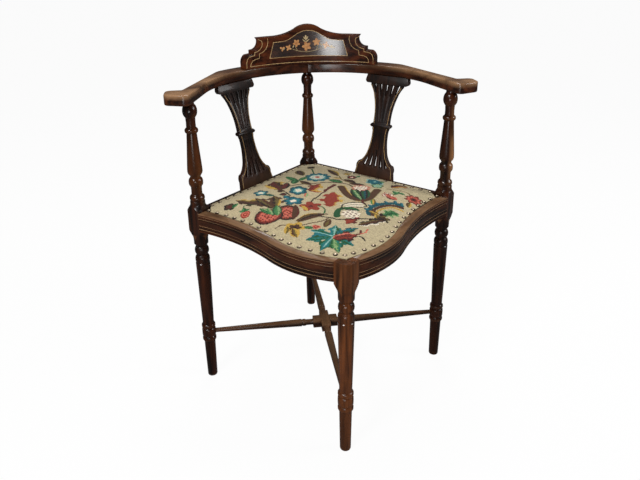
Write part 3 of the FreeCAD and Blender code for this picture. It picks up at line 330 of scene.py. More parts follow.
# Seat rails
# Four rails tenoned into the post blocks: two straight at the back, and two at the front sawn
# to a serpentine, reeded along their faces and worn pale along the top by hands and legs.
def from_cad(node, material, edge_round, segments=2):
    """A copy of a sawn piece of the frame with its edges eased by plane and sandpaper."""
    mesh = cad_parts[node].data.copy()
    piece = bpy.data.objects.new(node + "_piece", mesh)
    scene.collection.objects.link(piece)
    shape = bmesh.new()
    shape.from_mesh(mesh)
    bmesh.ops.remove_doubles(shape, verts=shape.verts, dist=0.00002)
    bmesh.ops.dissolve_limit(shape, angle_limit=math.radians(1.2), verts=shape.verts, edges=shape.edges)
    shape.to_mesh(mesh)
    shape.free()
    mesh.materials.clear()
    mesh.materials.append(material)
    pick(piece)
    easing = piece.modifiers.new("easing", "BEVEL")
    easing.width = edge_round
    easing.segments = segments
    easing.limit_method = "ANGLE"
    easing.angle_limit = math.radians(38)
    bpy.ops.object.modifier_apply(modifier="easing")
    bpy.ops.object.shade_smooth_by_angle(angle=math.radians(32))
    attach(piece, "root")
    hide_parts(node)


pale_tan = (0.40, 0.235, 0.12)
rail_dark = (0.010, 0.0032, 0.0016)
rail_light = (0.056, 0.0155, 0.005)
# Heights of the reeds' edges on the front rails: thin pale lines are painted there as the highlight where
# light catches each bead, broken up like worn polish
reed_edges = (0.4252, 0.4188, 0.4029, 0.3954)
sides = (("left", -1), ("right", 1))
for side, sign in sides:
    front_wood = mahogany("front_%s_rail_mahogany" % side, "X", rail_dark, rail_light, pale_tan,
                          (("Z", 0.4275, 0.4299),), 0.55, 45 * sign, edges=reed_edges)
    from_cad("front_%s_rail" % side, front_wood, 0.0005, 1)
for side, sign in sides:
    back_wood = mahogany("back_%s_rail_mahogany" % side, "X", rail_dark, rail_light, orange_brown,
                         grain_turn=-45 * sign)
    from_cad("back_%s_rail" % side, back_wood, 0.0005, 1)

# Arms
# Two bow-shaped halves sawn from thick board, dowelled together over the back post. Hands have
# worn their tops and scrolled ends down to pale bare wood.
for side, sign in sides:
    arm_wood = mahogany(side + "_arm_mahogany", "X", (0.014, 0.004, 0.0018), (0.075, 0.02, 0.0062), pale_tan,
                        (("Z", 0.681, 0.6918), ("Y", 0.235, 0.1)), 0.95, -45 * sign)
    from_cad(side + "_arm", arm_wood, 0.001)

# Crest rail
# A shaped back rest of figured mahogany, bent to the bow and screwed up through it. Its face has a
# dark rosewood panel with marquetry sprays, and lines of pale boxwood let in around its shape.
crest_wood = mahogany("crest_mahogany", "X", (0.018, 0.0038, 0.0014), (0.10, 0.023, 0.006), orange_brown,
                      (("Z", 0.765, 0.787),), 0.25, roughness=0.2)
from_cad("crest_rail", crest_wood, 0.0012, 3)
bow_radius = 0.251
arm_top = 0.6925


def on_crest(s, z, proud):
    """A point on the crest rail's hollow face, s along its bow and z above the arm in millimetres."""
    turn = s / 1000 / bow_radius
    radius = bow_radius - proud
    return (radius * math.sin(turn), radius * math.cos(turn) + frame_shift, arm_top + z / 1000)


def grained(name, scale, detail, tones, shine, even=None, dents=None, stretch=None):
    """A finish whose tone, shine and surface follow one fine grain."""
    material, tree, surface = new_finish(name)
    place = add(tree, "TexCoord")["Object"]
    if stretch:
        place = add(tree, "Mapping", {"Vector": place, "Scale": stretch})[0]
    grain = noise(place, scale, detail)
    feed(surface, {"Base Color": two_tones(grain, *tones), "Roughness": spread(grain, 0, 1, *shine)})
    feed(surface, even or {})
    if dents:
        feed(surface, {"Normal": relief(grain, *dents)})
    return material


def veneer(name, dark, light):
    """A thin pale wood for lines and petals, under the same clear polish as the panel."""
    return grained(name, 130.0, 4.0, (0.35, dark, 0.65, light), (0.2, 0.4),
                   {"Coat Weight": 0.6, "Coat Roughness": 0.1}, (0.08, 0.0002))


def let_in(name, shapes, lay, material, proud=0.0003):
    """Inlay: flat shapes laid on a face, each with a sawn edge that sinks into it.

    A shape is a list of rows, and each row has the points across the shape there.
    """
    mesh = bpy.data.meshes.new(name)
    inlay = bpy.data.objects.new(name, mesh)
    scene.collection.objects.link(inlay)
    form = bmesh.new()
    for rows in shapes:
        top = [[form.verts.new(lay(s, z, proud)) for s, z in row] for row in rows]
        for row, following in zip(top, top[1:]):
            for index in range(len(row) - 1):
                form.faces.new((row[index], row[index + 1], following[index + 1], following[index]))
    bmesh.ops.remove_doubles(form, verts=form.verts, dist=0.000001)
    bmesh.ops.recalc_face_normals(form, faces=form.faces)
    form.to_mesh(mesh)
    form.free()
    mesh.materials.append(material)
    pick(inlay)
    body = inlay.modifiers.new("body", "SOLIDIFY")
    body.thickness = proud * 2.5
    body.offset = -1
    bpy.ops.object.modifier_apply(modifier="body")
    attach(inlay, "root")


def rounded(points, rounds=2):
    """Cuts the corners off a line again and again until it runs in a curve."""
    for cut in range(rounds):
        softer = [points[0]]
        for (ax, ay), (bx, by) in zip(points, points[1:]):
            softer.append((ax * 0.75 + bx * 0.25, ay * 0.75 + by * 0.25))
            softer.append((ax * 0.25 + bx * 0.75, ay * 0.25 + by * 0.75))
        points = softer + [points[-1]]
    return points


def line_rows(points, width, closed=False):
    """The rows of a line of even width, in steps of about 5 mm that can follow a bow."""
    fine = []
    following = points[1:] + points[:1] if closed else points[1:]
    for (ax, ay), (bx, by) in zip(points, following):
        steps = max(1, int(math.hypot(bx - ax, by - ay) / 5.0))
        fine += [(ax + (bx - ax) * k / steps, ay + (by - ay) * k / steps) for k in range(steps)]
    fine.append(points[0] if closed else points[-1])
    ends = (fine[-2], fine[1]) if closed else (fine[0], fine[-1])
    rows = []
    for before, (x, y), after in zip([ends[0]] + fine, fine, fine[1:] + [ends[1]]):
        first = Vector((x - before[0], y - before[1])).normalized() if before != (x, y) else None
        second = Vector((after[0] - x, after[1] - y)).normalized() if after != (x, y) else None
        along = ((first or second) + (second or first)).normalized()
        stretch = 1 / max(0.5, along.dot(second or first))
        off = Vector((-along.y, along.x)) * width / 2 * stretch
        rows.append([(x - off.x, y - off.y), (x + off.x, y + off.y)])
    return rows


# The panel: a rosewood field between a low sill and a top that echoes the crest
panel_top = [(0, 80.5), (8, 80), (16, 78), (26, 73.5), (36, 67.5), (46, 61.5), (55, 58), (66, 56.8),
             (76, 56.3), (86, 56.3)]
shoulder_reach = 86
sill_reach = 97
sill = 19.5
rosewood = mahogany("rosewood_panel", "X", (0.012, 0.004, 0.002), (0.06, 0.019, 0.008), orange_brown,
                    roughness=0.3)
feed(rosewood.node_tree.nodes["Principled BSDF"],
     {"Coat Weight": 1.0, "Coat Roughness": 0.22, "Coat IOR": 1.95})
columns = []
for across in np.linspace(-1, 1, 49):
    top = np.interp(abs(across) * shoulder_reach, *zip(*panel_top))
    columns.append([(across * (sill_reach + (shoulder_reach - sill_reach) * lift), sill + (top - sill) * lift)
                    for lift in np.linspace(0, 1, 7)])
let_in("rosewood_field", [columns], on_crest, rosewood, 0.00015)

boxwood = veneer("boxwood_line", (0.33, 0.19, 0.075), (0.55, 0.36, 0.165))
string_width = 1.1
right_half = panel_top + [(sill_reach, sill)]
left_half = [(-x, z) for x, z in reversed(right_half)][:-1]
lines = [line_rows(right_half + left_half, string_width, True)]
# One line follows the crest's stepped end, and a second keeps a finger's breadth inside it
edge_line = [(126, 66.5), (117, 61.5), (115.5, 55), (118, 47.5), (124, 41.5), (131, 38.5), (137, 37.6),
             (138, 30.5), (147, 29.8), (154, 28.2), (159.5, 23), (161.8, 15), (162, 3)]
inner_line = [(101.5, 67), (100.5, 60), (102, 51), (107.5, 42), (115.5, 36), (124.5, 33), (125.5, 22.5),
              (137, 21), (144.5, 18.5), (149.5, 12), (151, 5.5)]
for sign in (-1, 1):
    for points in (edge_line, inner_line):
        lines.append(line_rows([(x * sign, z) for x, z in points], string_width))
lines.append(line_rows([(-151, 5.5), (151, 5.5)], string_width))
let_in("crest_stringing", lines, on_crest, boxwood)

# The marquetry: a spray in the middle, two open flowers beside it and a leafy sprig at each end
satinwood = veneer("satinwood_petal", (0.33, 0.135, 0.045), (0.54, 0.27, 0.10))
holly = veneer("holly_leaf", (0.30, 0.22, 0.10), (0.48, 0.36, 0.19))


def petal(x, z, length, width, degrees):
    """The rows of a pointed leaf that starts at a place and grows along a direction."""
    turn = math.radians(degrees)
    rows = []
    for along, share in ((0, 0.12), (0.25, 0.75), (0.5, 1.0), (0.78, 0.72), (1.0, 0.06)):
        middle = (x + math.cos(turn) * length * along, z + math.sin(turn) * length * along)
        off = (-math.sin(turn) * width / 2 * share, math.cos(turn) * width / 2 * share)
        rows.append([(middle[0] - off[0], middle[1] - off[1]), middle,
                     (middle[0] + off[0], middle[1] + off[1])])
    return rows


petals = []
for x, z, size, first, count in ((-3, 43, 12, 40, 5), (21, 52.5, 10, 20, 5), (-28, 51.5, 9.5, 50, 5),
                                 (44, 44.5, 9, 75, 4), (-48, 41.5, 8, 60, 4), (-64, 40, 7, 30, 3)):
    for number in range(count):
        petals.append(petal(x, z, size, size * 0.62, first + number * 360 / count))
let_in("marquetry_petals", petals, on_crest, satinwood)
leaves = [petal(*sprig) for sprig in (
    (-5, 61, 9, 4, 90), (-5, 58, 10, 3, 125), (-5, 58, 10, 3, 55), (-5, 53, 11, 2.6, 142),
    (-5, 53, 11, 2.6, 38), (50, 41, 17, 4.5, -8), (52, 40, 10, 3.5, 28), (-57, 40, 9, 3, 200),
    (30, 49, 8, 2.6, -60), (-34, 47, 8, 2.6, 240))]
stalks = ([(-5, 66), (-4.6, 54), (-3.4, 45), (-2.6, 33), (-3, 28)],
          [(-3, 30), (8, 30.5), (20, 33), (33, 38), (44, 44)],
          [(-3, 30), (-14, 30.5), (-26, 33), (-38, 37.5), (-48, 41)],
          [(20, 34), (24, 41), (22, 51)], [(-26, 34), (-31, 42), (-28, 50)])
leaves += [line_rows(rounded(stalk, 1), 0.8) for stalk in stalks]
let_in("marquetry_sprays", leaves, on_crest, holly)

# Splats
# Two leaning boards, fluted on the face, pierced above and below, and edged with boxwood. Each is
# tenoned into the back rail below and the arm above.
diagonal = math.sqrt(0.5)
rail_line = post_reach / math.sqrt(2)
splat_lean = 0.25
splat_shift = 0.006
splat_edge = [(49.5, 436), (48.6, 447), (47, 455), (43.2, 462.5), (37.5, 465), (31, 473), (25.5, 483),
              (21.6, 496), (19, 506), (17.6, 520), (17.2, 536), (18.2, 545), (18.4, 561), (19.2, 578),
              (21.5, 600), (25, 614), (31, 630), (37.5, 640), (40.3, 647)]
for side, sign in sides:
    splat_wood = mahogany(side + "_splat_mahogany", "Z", (0.007, 0.0026, 0.0014), (0.027, 0.0078, 0.003),
                          (0.13, 0.045, 0.015), (("Z", 0.52, 0.45),), 0.2, roughness=0.44)
    from_cad(side + "_splat", splat_wood, 0.0006)

    def on_splat(s, z, proud):
        """A point on the splat's leaning face, s across it and z above the floor in millimetres."""
        face = rail_line - 0.004 + splat_lean * (z / 1000 - 0.43) - proud
        along = s / 1000 + splat_shift * sign
        return ((along + face * sign) * diagonal, (face - along * sign) * diagonal + frame_shift, z / 1000)

    edges = [line_rows([(x * way, z) for x, z in splat_edge], 0.8) for way in (-1, 1)]
    let_in(side + "_splat_stringing", edges, on_splat, boxwood)

# Stretchers
# Two thin turned bars that cross under the seat, halved into each other in a small square block.
# They are paler than the posts, and feet have worn the polish off their tops.
for node, grain_axis in (("side_stretcher", "X"), ("front_back_stretcher", "Y")):
    stretcher_wood = mahogany(node + "_mahogany", grain_axis, (0.016, 0.0055, 0.0025), (0.085, 0.027, 0.009),
                              pale_tan, (("Z", 0.121, 0.129),), 0.3)
    from_cad(node, stretcher_wood, 0.0007)

# Corner braces and screws
# Sawn beech blocks glued and screwed across the corners under the seat, left unpolished, and the
# dowels of the arms' joint. Steel screws hold the braces to the rails and the crest rail to the arms.
beech = grained("raw_beech", 1.0, 5.0, (0.35, (0.2, 0.105, 0.048), 0.7, (0.42, 0.25, 0.125)), (0.6, 0.85),
                dents=(0.25, 0.0004), stretch=(30, 30, 300))
for corner in ("left", "right", "back", "front"):
    from_cad(corner + "_corner_brace", beech, 0.0008, 1)
from_cad("arm_joint_dowels", beech, 0.0006, 1)
steel = grained("dull_steel", 700.0, 4.0, (0.4, (0.13, 0.1, 0.08), 0.6, (0.4, 0.38, 0.36)), (0.3, 0.6),
                {"Metallic": 1.0})
for joint in ("corner_brace", "crest_rail"):
    from_cad(joint + "_screws", steel, 0.0003, 1)

# Webbing
# Six strips of striped jute webbing, tacked into the rails' rebates and woven over and under.
# Three run each way, and together they carry the canvas and the stuffing.
web_half = rail_line - 0.017 + 0.007
web_width = 0.05
web_pitch = 0.084
web_level = 0.42745


def cloth(name, thread, stripe, stripe_at, threads, raised):
    """A plain-woven cloth whose threads follow its own UV map."""
    material, tree, yarn = new_finish(name)
    flat = add(tree, "TexCoord")["UV"]
    counted = add(tree, "Mapping", {"Vector": flat, "Scale": threads})[0]
    weave = add(tree, "TexChecker", {"Vector": counted, "Scale": 1.0})["Fac"]
    slubs = add(tree, "TexNoise", {"Vector": counted, "Scale": 0.35, "Detail": 4.0})
    fold = reckon("PINGPONG", add(tree, "SeparateXYZ", {0: flat})["Y"], 0.5)
    dyed = layer(tree, reckon("COMPARE", fold, stripe_at, 0.035), thread, stripe)
    uneven = layer(tree, 0.7, dyed, slubs["Color"], "MULTIPLY")
    bump = relief(reckon("ADD", weave, slubs["Fac"]), 0.6, raised)
    feed(yarn, {"Base Color": uneven, "Roughness": 0.9, "Normal": bump})
    return material


def finish_cloth(piece, thickness):
    """Gives a sheet its thickness and puts its edges right."""
    pick(piece)
    body = piece.modifiers.new("body", "SOLIDIFY")
    body.thickness = thickness
    body.offset = 0
    bpy.ops.object.modifier_apply(modifier="body")
    bpy.ops.object.shade_smooth_by_angle(angle=math.radians(40))


jute = cloth("jute_webbing", (0.42, 0.3, 0.17), (0.1, 0.035, 0.02), 0.17, (130, 18, 1), 0.0006)
for layer_name, degrees, starts_over in (("lower", 45, False), ("upper", -45, True)):
    turn = Matrix.Rotation(math.radians(degrees), 4, "Z")
    for number, word in ((-1, "left"), (0, "middle"), (1, "right")):
        bpy.ops.object.select_all(action="DESELECT")
        bpy.ops.mesh.primitive_grid_add(x_subdivisions=60, y_subdivisions=4, size=1)
        strip = bpy.context.object
        strip.name = "%s_%s_webbing" % (layer_name, word)
        for vertex in strip.data.vertices:
            x = vertex.co.x * web_half * 2
            y = vertex.co.y * web_width + web_pitch * number
            rise = 0
            for crossing in (-1, 0, 1):
                away = min(abs(x - web_pitch * crossing) / (web_pitch / 2), 1)
                over = starts_over == ((crossing + number) % 2 == 0)
                rise += (0.0007 if over else -0.0007) * math.cos(away * math.pi / 2)
            vertex.co = turn @ Vector((x, y, 0)) + Vector((0, frame_shift, web_level + rise))
        strip.data.materials.append(jute)
        finish_cloth(strip, 0.0012)
        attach(strip, "root")
        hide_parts("%s_%s_web" % (layer_name, word))

# Canvas
# One piece of unbleached linen canvas over the webbing, tacked to the rails under the stuffing.
# Its corners are cut off at the post blocks.
linen = cloth("linen_canvas", (0.5, 0.42, 0.3), (0.46, 0.38, 0.27), 0.4, (240, 240, 1), 0.0003)
post_line = 0.249
bpy.ops.object.select_all(action="DESELECT")
bpy.ops.mesh.primitive_grid_add(x_subdivisions=36, y_subdivisions=36, size=web_half * 2,
                                rotation=(0, 0, math.radians(45)))
bpy.ops.object.transform_apply(location=True, rotation=True, scale=True)
canvas = bpy.context.object
canvas.name = "seat_canvas_sheet"
bpy.ops.object.mode_set(mode="EDIT")
for normal in ((1, 0, 0), (-1, 0, 0), (0, 1, 0), (0, -1, 0)):
    bpy.ops.mesh.select_all(action="SELECT")
    cut = tuple(axis * (post_line - 0.0005) for axis in normal)
    bpy.ops.mesh.bisect(plane_co=cut, plane_no=normal, clear_outer=True)
bpy.ops.object.mode_set(mode="OBJECT")
for vertex in canvas.data.vertices:
    middle = max(0.0, 1 - (abs(vertex.co.x) + abs(vertex.co.y)) / post_line)
    vertex.co.y += frame_shift
    vertex.co.z = 0.4294 - 0.0003 * middle
canvas.data.materials.append(linen)
finish_cloth(canvas, 0.0007)
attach(canvas, "root")
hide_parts("seat_canvas")

# Needlework cover
# The seat is stuffed low and firm, and its cover is canvas worked all over in wool: flowers, fruit
# and curling leaves of the old crewel kind on a buff ground. It is nailed down along every rail.
post_mm = post_reach * 1000
rail_span = post_mm * math.sqrt(2)
# A front rail's serpentine is a hollow arc and a swelling one, each with its place along the rail
hollow_at, hollow_depth, hollow_radius = 100.0, 10.3, 476.0
swell_at, swell_depth, swell_radius = 283.9, 34.8, 226.4


def front_edge(s, inset):
    """A point on the right front rail, s along it from the side post and in from its sawn face."""
    hollow_end = hollow_at + (swell_at - hollow_at) * (hollow_radius + inset) / (hollow_radius + swell_radius)
    if s < hollow_end:
        y = hollow_depth + hollow_radius - math.sqrt((hollow_radius + inset) ** 2 - (s - hollow_at) ** 2)
    else:
        y = swell_depth - swell_radius + math.sqrt((swell_radius - inset) ** 2 - (s - swell_at) ** 2)
    return (post_mm - (s - y) * diagonal, -(s + y) * diagonal)


def back_edge(s, inset):
    """A point on the right back rail, s along it and in from the line of the posts."""
    return (post_mm - (s + inset) * diagonal, (s - inset) * diagonal)


stitches = 212
bpy.ops.object.select_all(action="DESELECT")
bpy.ops.mesh.primitive_grid_add(x_subdivisions=stitches, y_subdivisions=stitches, size=2, calc_uvs=True)
cover = bpy.context.object
cover.name = "needlework_cover"
count = len(cover.data.vertices)
flat = np.empty(count * 3)
cover.data.vertices.foreach_get("co", flat)
u = (flat[0::3] + 1) / 2
v = (flat[1::3] + 1) / 2
shares = np.linspace(0, 1, stitches + 1)
front_start, front_run, front_inset = 388.0, 384.5, 14
side_start, back_inset = 2.0, 4
front_right = np.array([front_edge(front_start - front_run * share, front_inset) for share in shares])
# The cover bellies out a little over the front leg
front_right[:, 1] -= 2.5 * np.exp(-(front_run * shares / 14) ** 2)
front_right[0, 0] = 0
side_corner = np.array(back_edge(side_start, back_inset))
back_right = np.array([back_edge(side_start + (rail_span - side_start) * share, back_inset)
                       for share in shares])
back_right[-1, 0] = 0
front_left = front_right * (-1, 1)
back_left = back_right * (-1, 1)
front_right += np.outer(shares, side_corner - front_right[-1])
front_left += np.outer(shares, side_corner * (-1, 1) - front_left[-1])


def on_line(line, share):
    """The places at given shares of the way along an edge of the seat."""
    return np.stack([np.interp(share, shares, line[:, 0]), np.interp(share, shares, line[:, 1])], axis=1)


uu = u[:, None]
vv = v[:, None]
from_corners = ((1 - uu) * (1 - vv) * front_right[0] + uu * (1 - vv) * front_right[-1]
                + (1 - uu) * vv * front_left[-1] + uu * vv * back_right[-1])
spots = ((1 - vv) * on_line(front_right, u) + vv * on_line(back_left, u)
         + (1 - uu) * on_line(front_left, v) + uu * on_line(back_right, v) - from_corners)
block_line = 248.6
past_block = (np.abs(spots[:, 0]) > block_line) | (spots[:, 1] > block_line)
spots[:, 0] = np.clip(spots[:, 0], -block_line, block_line)
spots[:, 1] = np.minimum(spots[:, 1], block_line)
seat_side, flat_margin, rolled_edge = 370, 7, 36
nail_pulls, pull_line = 15.5, 11
swell = np.ones(count)
pucker = np.zeros(count)
for share, other in ((u, v), (v, u)):
    from_edge = np.minimum(share, 1 - share) * seat_side
    swell *= np.sin(np.clip((from_edge - flat_margin) / rolled_edge, 0, 1) * math.pi / 2)
    pull = 0.5 - 0.5 * np.cos(other * math.pi * 2 * nail_pulls)
    pucker += np.exp(-((from_edge - pull_line) / 7) ** 2) * pull * 0.7
edge_height, crown_height, dome_spread = 431.6, 447, 5200
dome = crown_height - (spots[:, 0] ** 2 + spots[:, 1] ** 2) / dome_spread
ripple = 0.35 * np.sin(spots[:, 0] / 31 + 1.3) * np.sin(spots[:, 1] / 27) + 0.2 * np.sin(spots[:, 0] / 13)
flat[0::3] = spots[:, 0] / 1000
flat[1::3] = spots[:, 1] / 1000 + frame_shift
flat[2::3] = (edge_height + (dome - edge_height + ripple) * swell + pucker) / 1000
cover.data.vertices.foreach_set("co", flat)
bpy.ops.object.mode_set(mode="EDIT")
bpy.ops.mesh.select_mode(type="FACE")
bpy.ops.mesh.select_all(action="DESELECT")
bpy.ops.object.mode_set(mode="OBJECT")
for face in cover.data.polygons:
    face.select = all(past_block[index] for index in face.vertices)
bpy.ops.object.mode_set(mode="EDIT")
bpy.ops.mesh.delete(type="FACE")
bpy.ops.mesh.select_mode(type="EDGE")
bpy.ops.mesh.select_all(action="DESELECT")
bpy.ops.mesh.select_non_manifold()
bpy.ops.mesh.extrude_region_move(TRANSFORM_OT_translate={"value": (0, 0, -0.001)})
bpy.ops.transform.resize(value=(1, 1, 0), center_override=(0, 0, 0.4302))
bpy.ops.mesh.edge_face_add()
bpy.ops.mesh.select_all(action="SELECT")
bpy.ops.mesh.normals_make_consistent(inside=False)
bpy.ops.object.mode_set(mode="OBJECT")
bpy.ops.object.shade_smooth_by_angle(angle=math.radians(50))

# The wools by letter: k black, n brown, m maroon, r red, s salmon, w white, y gold, o olive, t teal,
# b blue, a aqua, c sea green, g green, e grass green and v pale green. A motif is worked in bands
# of them, and sx and sy say where each stitch lies, in millimetres from the middle of the seat
wools = {"k": (0.016, 0.008, 0.006), "n": (0.070, 0.028, 0.012), "m": (0.10, 0.016, 0.012),
         "r": (0.25, 0.032, 0.016), "s": (0.55, 0.13, 0.085), "w": (0.76, 0.67, 0.52),
         "y": (0.50, 0.31, 0.05), "o": (0.13, 0.09, 0.022), "t": (0.006, 0.068, 0.085),
         "b": (0.012, 0.145, 0.18), "a": (0.24, 0.45, 0.38), "c": (0.012, 0.15, 0.125),
         "g": (0.012, 0.075, 0.025), "e": (0.05, 0.19, 0.06), "v": (0.24, 0.36, 0.15)}
buff = (0.47, 0.39, 0.235)
chance = np.random.default_rng(7)
faces = len(cover.data.polygons)
middles = np.empty(faces * 3)
cover.data.polygons.foreach_get("center", middles)
sx = middles[0::3] * 1000
sy = (middles[1::3] - frame_shift) * 1000
uneven = chance.normal(0, 0.045, faces)
wool_of = np.tile(buff, (faces, 1))


def stitch(inside, level, tones):
    """Works a shape in bands of wool, from the first tone at level 0 to the last at level 1."""
    chosen = np.array([wools[tone] for tone in tones])
    band = np.clip(((level + uneven) * len(tones)).astype(int), 0, len(tones) - 1)
    wool_of[inside] = chosen[band[inside]]


def leaf(x, y, tip_x, tip_y, width, tones, bow=0.0, teeth=0):
    """A pointed leaf from its stalk to its tip, shaded from its right side to its left."""
    run = math.hypot(tip_x - x, tip_y - y)
    ux, uy = (tip_x - x) / run, (tip_y - y) / run
    share = ((sx - x) * ux + (sy - y) * uy) / run
    inner = np.clip(share, 0, 1)
    across = (sy - y) * ux - (sx - x) * uy - bow * 4 * inner * (1 - inner)
    half = width / 2 * np.sin(np.pi * inner) ** 0.7
    if teeth:
        half = half * (1 + 0.24 * np.sign(np.sin(2 * np.pi * teeth * inner)))
    inside = (share > 0) & (share < 1) & (np.abs(across) < half)
    stitch(inside, (across / np.maximum(half, 0.1) + 1) / 2, tones)


def bloom(x, y, size, lobes, tones, notch=0.25, turned=0, tall=1.0):
    """A flower or a fruit, worked in rings from its eye to its rim."""
    dx = sx - x
    dy = (sy - y) / tall
    round_by = np.arctan2(dy, dx) - math.radians(turned)
    rim = size * (1 - notch + notch * np.abs(np.cos(lobes * round_by / 2)))
    far = np.hypot(dx, dy)
    stitch(far < rim, far / rim, tones)


def stem(points, width, tones, taper=1.0):
    """A stalk in outline stitch, which may thin towards its end."""
    line = rounded(points)
    for index, ((ax, ay), (bx, by)) in enumerate(zip(line, line[1:])):
        share = ((sx - ax) * (bx - ax) + (sy - ay) * (by - ay)) / ((bx - ax) ** 2 + (by - ay) ** 2)
        share = np.clip(share, 0, 1)
        far = np.hypot(sx - ax - share * (bx - ax), sy - ay - share * (by - ay))
        half = width / 2 * (1 + (taper - 1) * (index + share) / len(line))
        stitch(far < half, share, tones)


def seeds(x, y, wide, tall, gap, size, tone):
    """Knots scattered in rows over a fruit."""
    row = np.round((sy - y) / (gap * 0.87))
    shift = (row % 2) * 0.5
    column = np.round((sx - x) / gap - shift)
    far = np.hypot((sx - x) - (column + shift) * gap, (sy - y) - row * gap * 0.87)
    inside = ((sx - x) / wide) ** 2 + ((sy - y) / tall) ** 2 < 1
    stitch(inside & (far < size), far * 0, tone)


# Back corner: a great daisy with buds and leaves around it
stem([(-2, 150), (-3, 172), (-2, 192)], 3.4, "g")
bloom(-3, 204, 12, 4, "nkko", 0.3, 45)
bloom(2, 120, 33, 10, "rswawabtbt", 0.2)
leaf(-30, 140, -37, 190, 24, "oknko", 2)
leaf(52, 122, 36, 180, 21, "yonkn", -3)
stem([(53, 128), (56, 112), (55, 95), (62, 82)], 3, "o")
leaf(38, 110, 56, 102, 10, "yo")
bloom(77, 134, 10, 4, "oyo")
stem([(78, 128), (79, 116), (83, 106)], 2.4, "k")
bloom(83, 106, 13, 5, "wrmk")
leaf(96, 104, 104, 118, 9, "ge")
leaf(-47, 98, -72, 140, 18, "gege")
leaf(-46, 100, -22, 130, 14, "egeg")
leaf(-50, 112, -60, 82, 19, "gegg")
stem([(-62, 108), (-72, 98), (-82, 84)], 2.8, "g")
leaf(-90, 50, -104, 112, 40, "yknmmn", 0, 3)
leaf(-98, 56, -126, 92, 16, "nyy")
leaf(-84, 54, -72, 92, 19, "kmm")
leaf(26, 97, 55, 72, 21, "gegek")
leaf(62, 94, 84, 64, 20, "onkn")
stem([(-66, 70), (-45, 78), (-22, 73), (0, 77), (28, 76), (52, 68), (66, 58), (72, 42)], 4.4, "nk")
leaf(-42, 100, -20, 66, 18, "onkn")

# Left side: small blue flowers and a branch of red leaves
bloom(-137, 42, 18, 5, "wwabtt", 0.35, 20)
leaf(-130, 32, -108, 19, 12, "gtg")
bloom(-53, 37, 22, 6, "wwabtt", 0.2, 15, 1.3)
bloom(-70, -22, 24, 5, "wwbbtt", 0.35, 90)
leaf(-79, -8, -86, 14, 16, "tbt")
stem([(-96, 50), (-86, 42), (-78, 26), (-74, 8)], 3, "k")
bloom(-88, 22, 9, 4, "mk")
bloom(-92, 44, 9, 3, "kn")
leaf(-42, -6, -36, 18, 10, "vs")
leaf(-26, 24, 2, 70, 30, "yyrrmrm", 2, 2)
leaf(-26, 30, -2, 16, 12, "ry")
stem([(33, 57), (28, 50), (16, 36), (6, 20), (-6, 6)], 10, "mnkn", 0.35)
stem([(18, 44), (14, 34), (4, 26)], 5, "m")
stem([(-4, 8), (-15, -8), (-28, -22), (-36, -42)], 3.6, "k")
stem([(-24, -18), (-12, -27), (0, -30)], 2.6, "n")
leaf(2, -66, 24, 12, 42, "yrrrrrr", 0, 3)
bloom(-37, -57, 25, 5, "mrrr", 0.45, 90)
leaf(-46, -78, -55, -50, 10, "y")
stem([(-22, -56), (-11, -66), (-9, -80), (-13, -94)], 3.4, "ge")

# Left corner: the acanthus, the great berry and the little strawberry
leaf(-108, -22, -195, 17, 30, "yonnkn", 8, 4)
leaf(-114, -52, -150, 14, 28, "nnokn", 0, 3)
leaf(-110, -50, -108, 18, 32, "nnoknn", 0, 3)
leaf(-108, -46, -98, -4, 11, "yo")
bloom(-207, -12, 15, 5, "mnk")
leaf(-202, -20, -190, -2, 10, "eg")
stem([(-178, -34), (-179, -22), (-169, -17), (-157, -21)], 2.6, "g")
bloom(-175, -56, 11, 5, "srsr", 0.1, 90, 1.2)
leaf(-189, -40, -164, -40, 10, "geg", -2)
leaf(-177, -46, -177, -28, 9, "ge")
bloom(-89, -77, 26, 1, "ssrsssrnk", 0.0, 0, 1.35)
bloom(-127, -83, 30, 1, "ssrsssrmk", 0.0, 0, 1.0)
leaf(-68, -44, -80, -113, 15, "nnnm", 3)
seeds(-89, -77, 19, 27, 8.5, 2.0, "n")
seeds(-127, -85, 23, 24, 8.5, 2.0, "m")
leaf(-114, -84, -144, -44, 17, "gvgeg")
leaf(-110, -88, -107, -38, 21, "gveeg")
leaf(-120, -82, -128, -46, 9, "ve")

# Right side: the tulip with its frilled lip, and pinks around it
leaf(68, 64, 104, 48, 15, "mnk")
stem([(47, 42), (48, 14), (54, -18), (66, -36), (80, -42)], 20, "y", 0.8)
stem([(46, 42), (47, 14), (53, -18), (65, -36), (80, -42)], 17, "nmnkn", 0.8)
far_lip = [(124, 14), (114, -2), (104, -20), (94, -36), (80, -43)]
stem(far_lip, 19, "o", 0.85)
stem(far_lip, 16, "nmnkn", 0.8)
leaf(76, -40, 70, 32, 26, "kgvgk")
leaf(84, -38, 98, 28, 24, "gktgk")
bloom(90, 31, 23, 9, "wwwws", 0.3, 0, 0.8)
seeds(90, 31, 21, 15, 8, 1.9, "r")
leaf(84, 12, 78, 28, 8, "wk")
stem([(78, -40), (76, -50), (79, -62)], 5, "m")
leaf(95, -70, 103, -36, 12, "oye")
bloom(131, 70, 23, 6, "abtbta", 0.25, 10, 1.1)
bloom(130, 42, 15, 5, "avavg", 0.3)
leaf(142, 62, 156, 82, 11, "eg")
leaf(160, 30, 206, 52, 27, "rynmnk", 0, 2)
leaf(170, 30, 194, 42, 10, "yr")
stem([(147, 22), (162, 14), (178, 8), (190, -4), (192, -30)], 2.8, "o")
leaf(148, -17, 173, 4, 13, "gev")
leaf(163, -14, 158, 9, 10, "eg")
leaf(168, -2, 179, -17, 9, "ge")
bloom(140, -15, 15, 7, "rsmwr", 0.4)
leaf(136, -20, 154, -44, 19, "mrsrs")
bloom(193, -36, 21, 8, "kmrsrm", 0.35)
leaf(181, -50, 170, -72, 12, "noy")

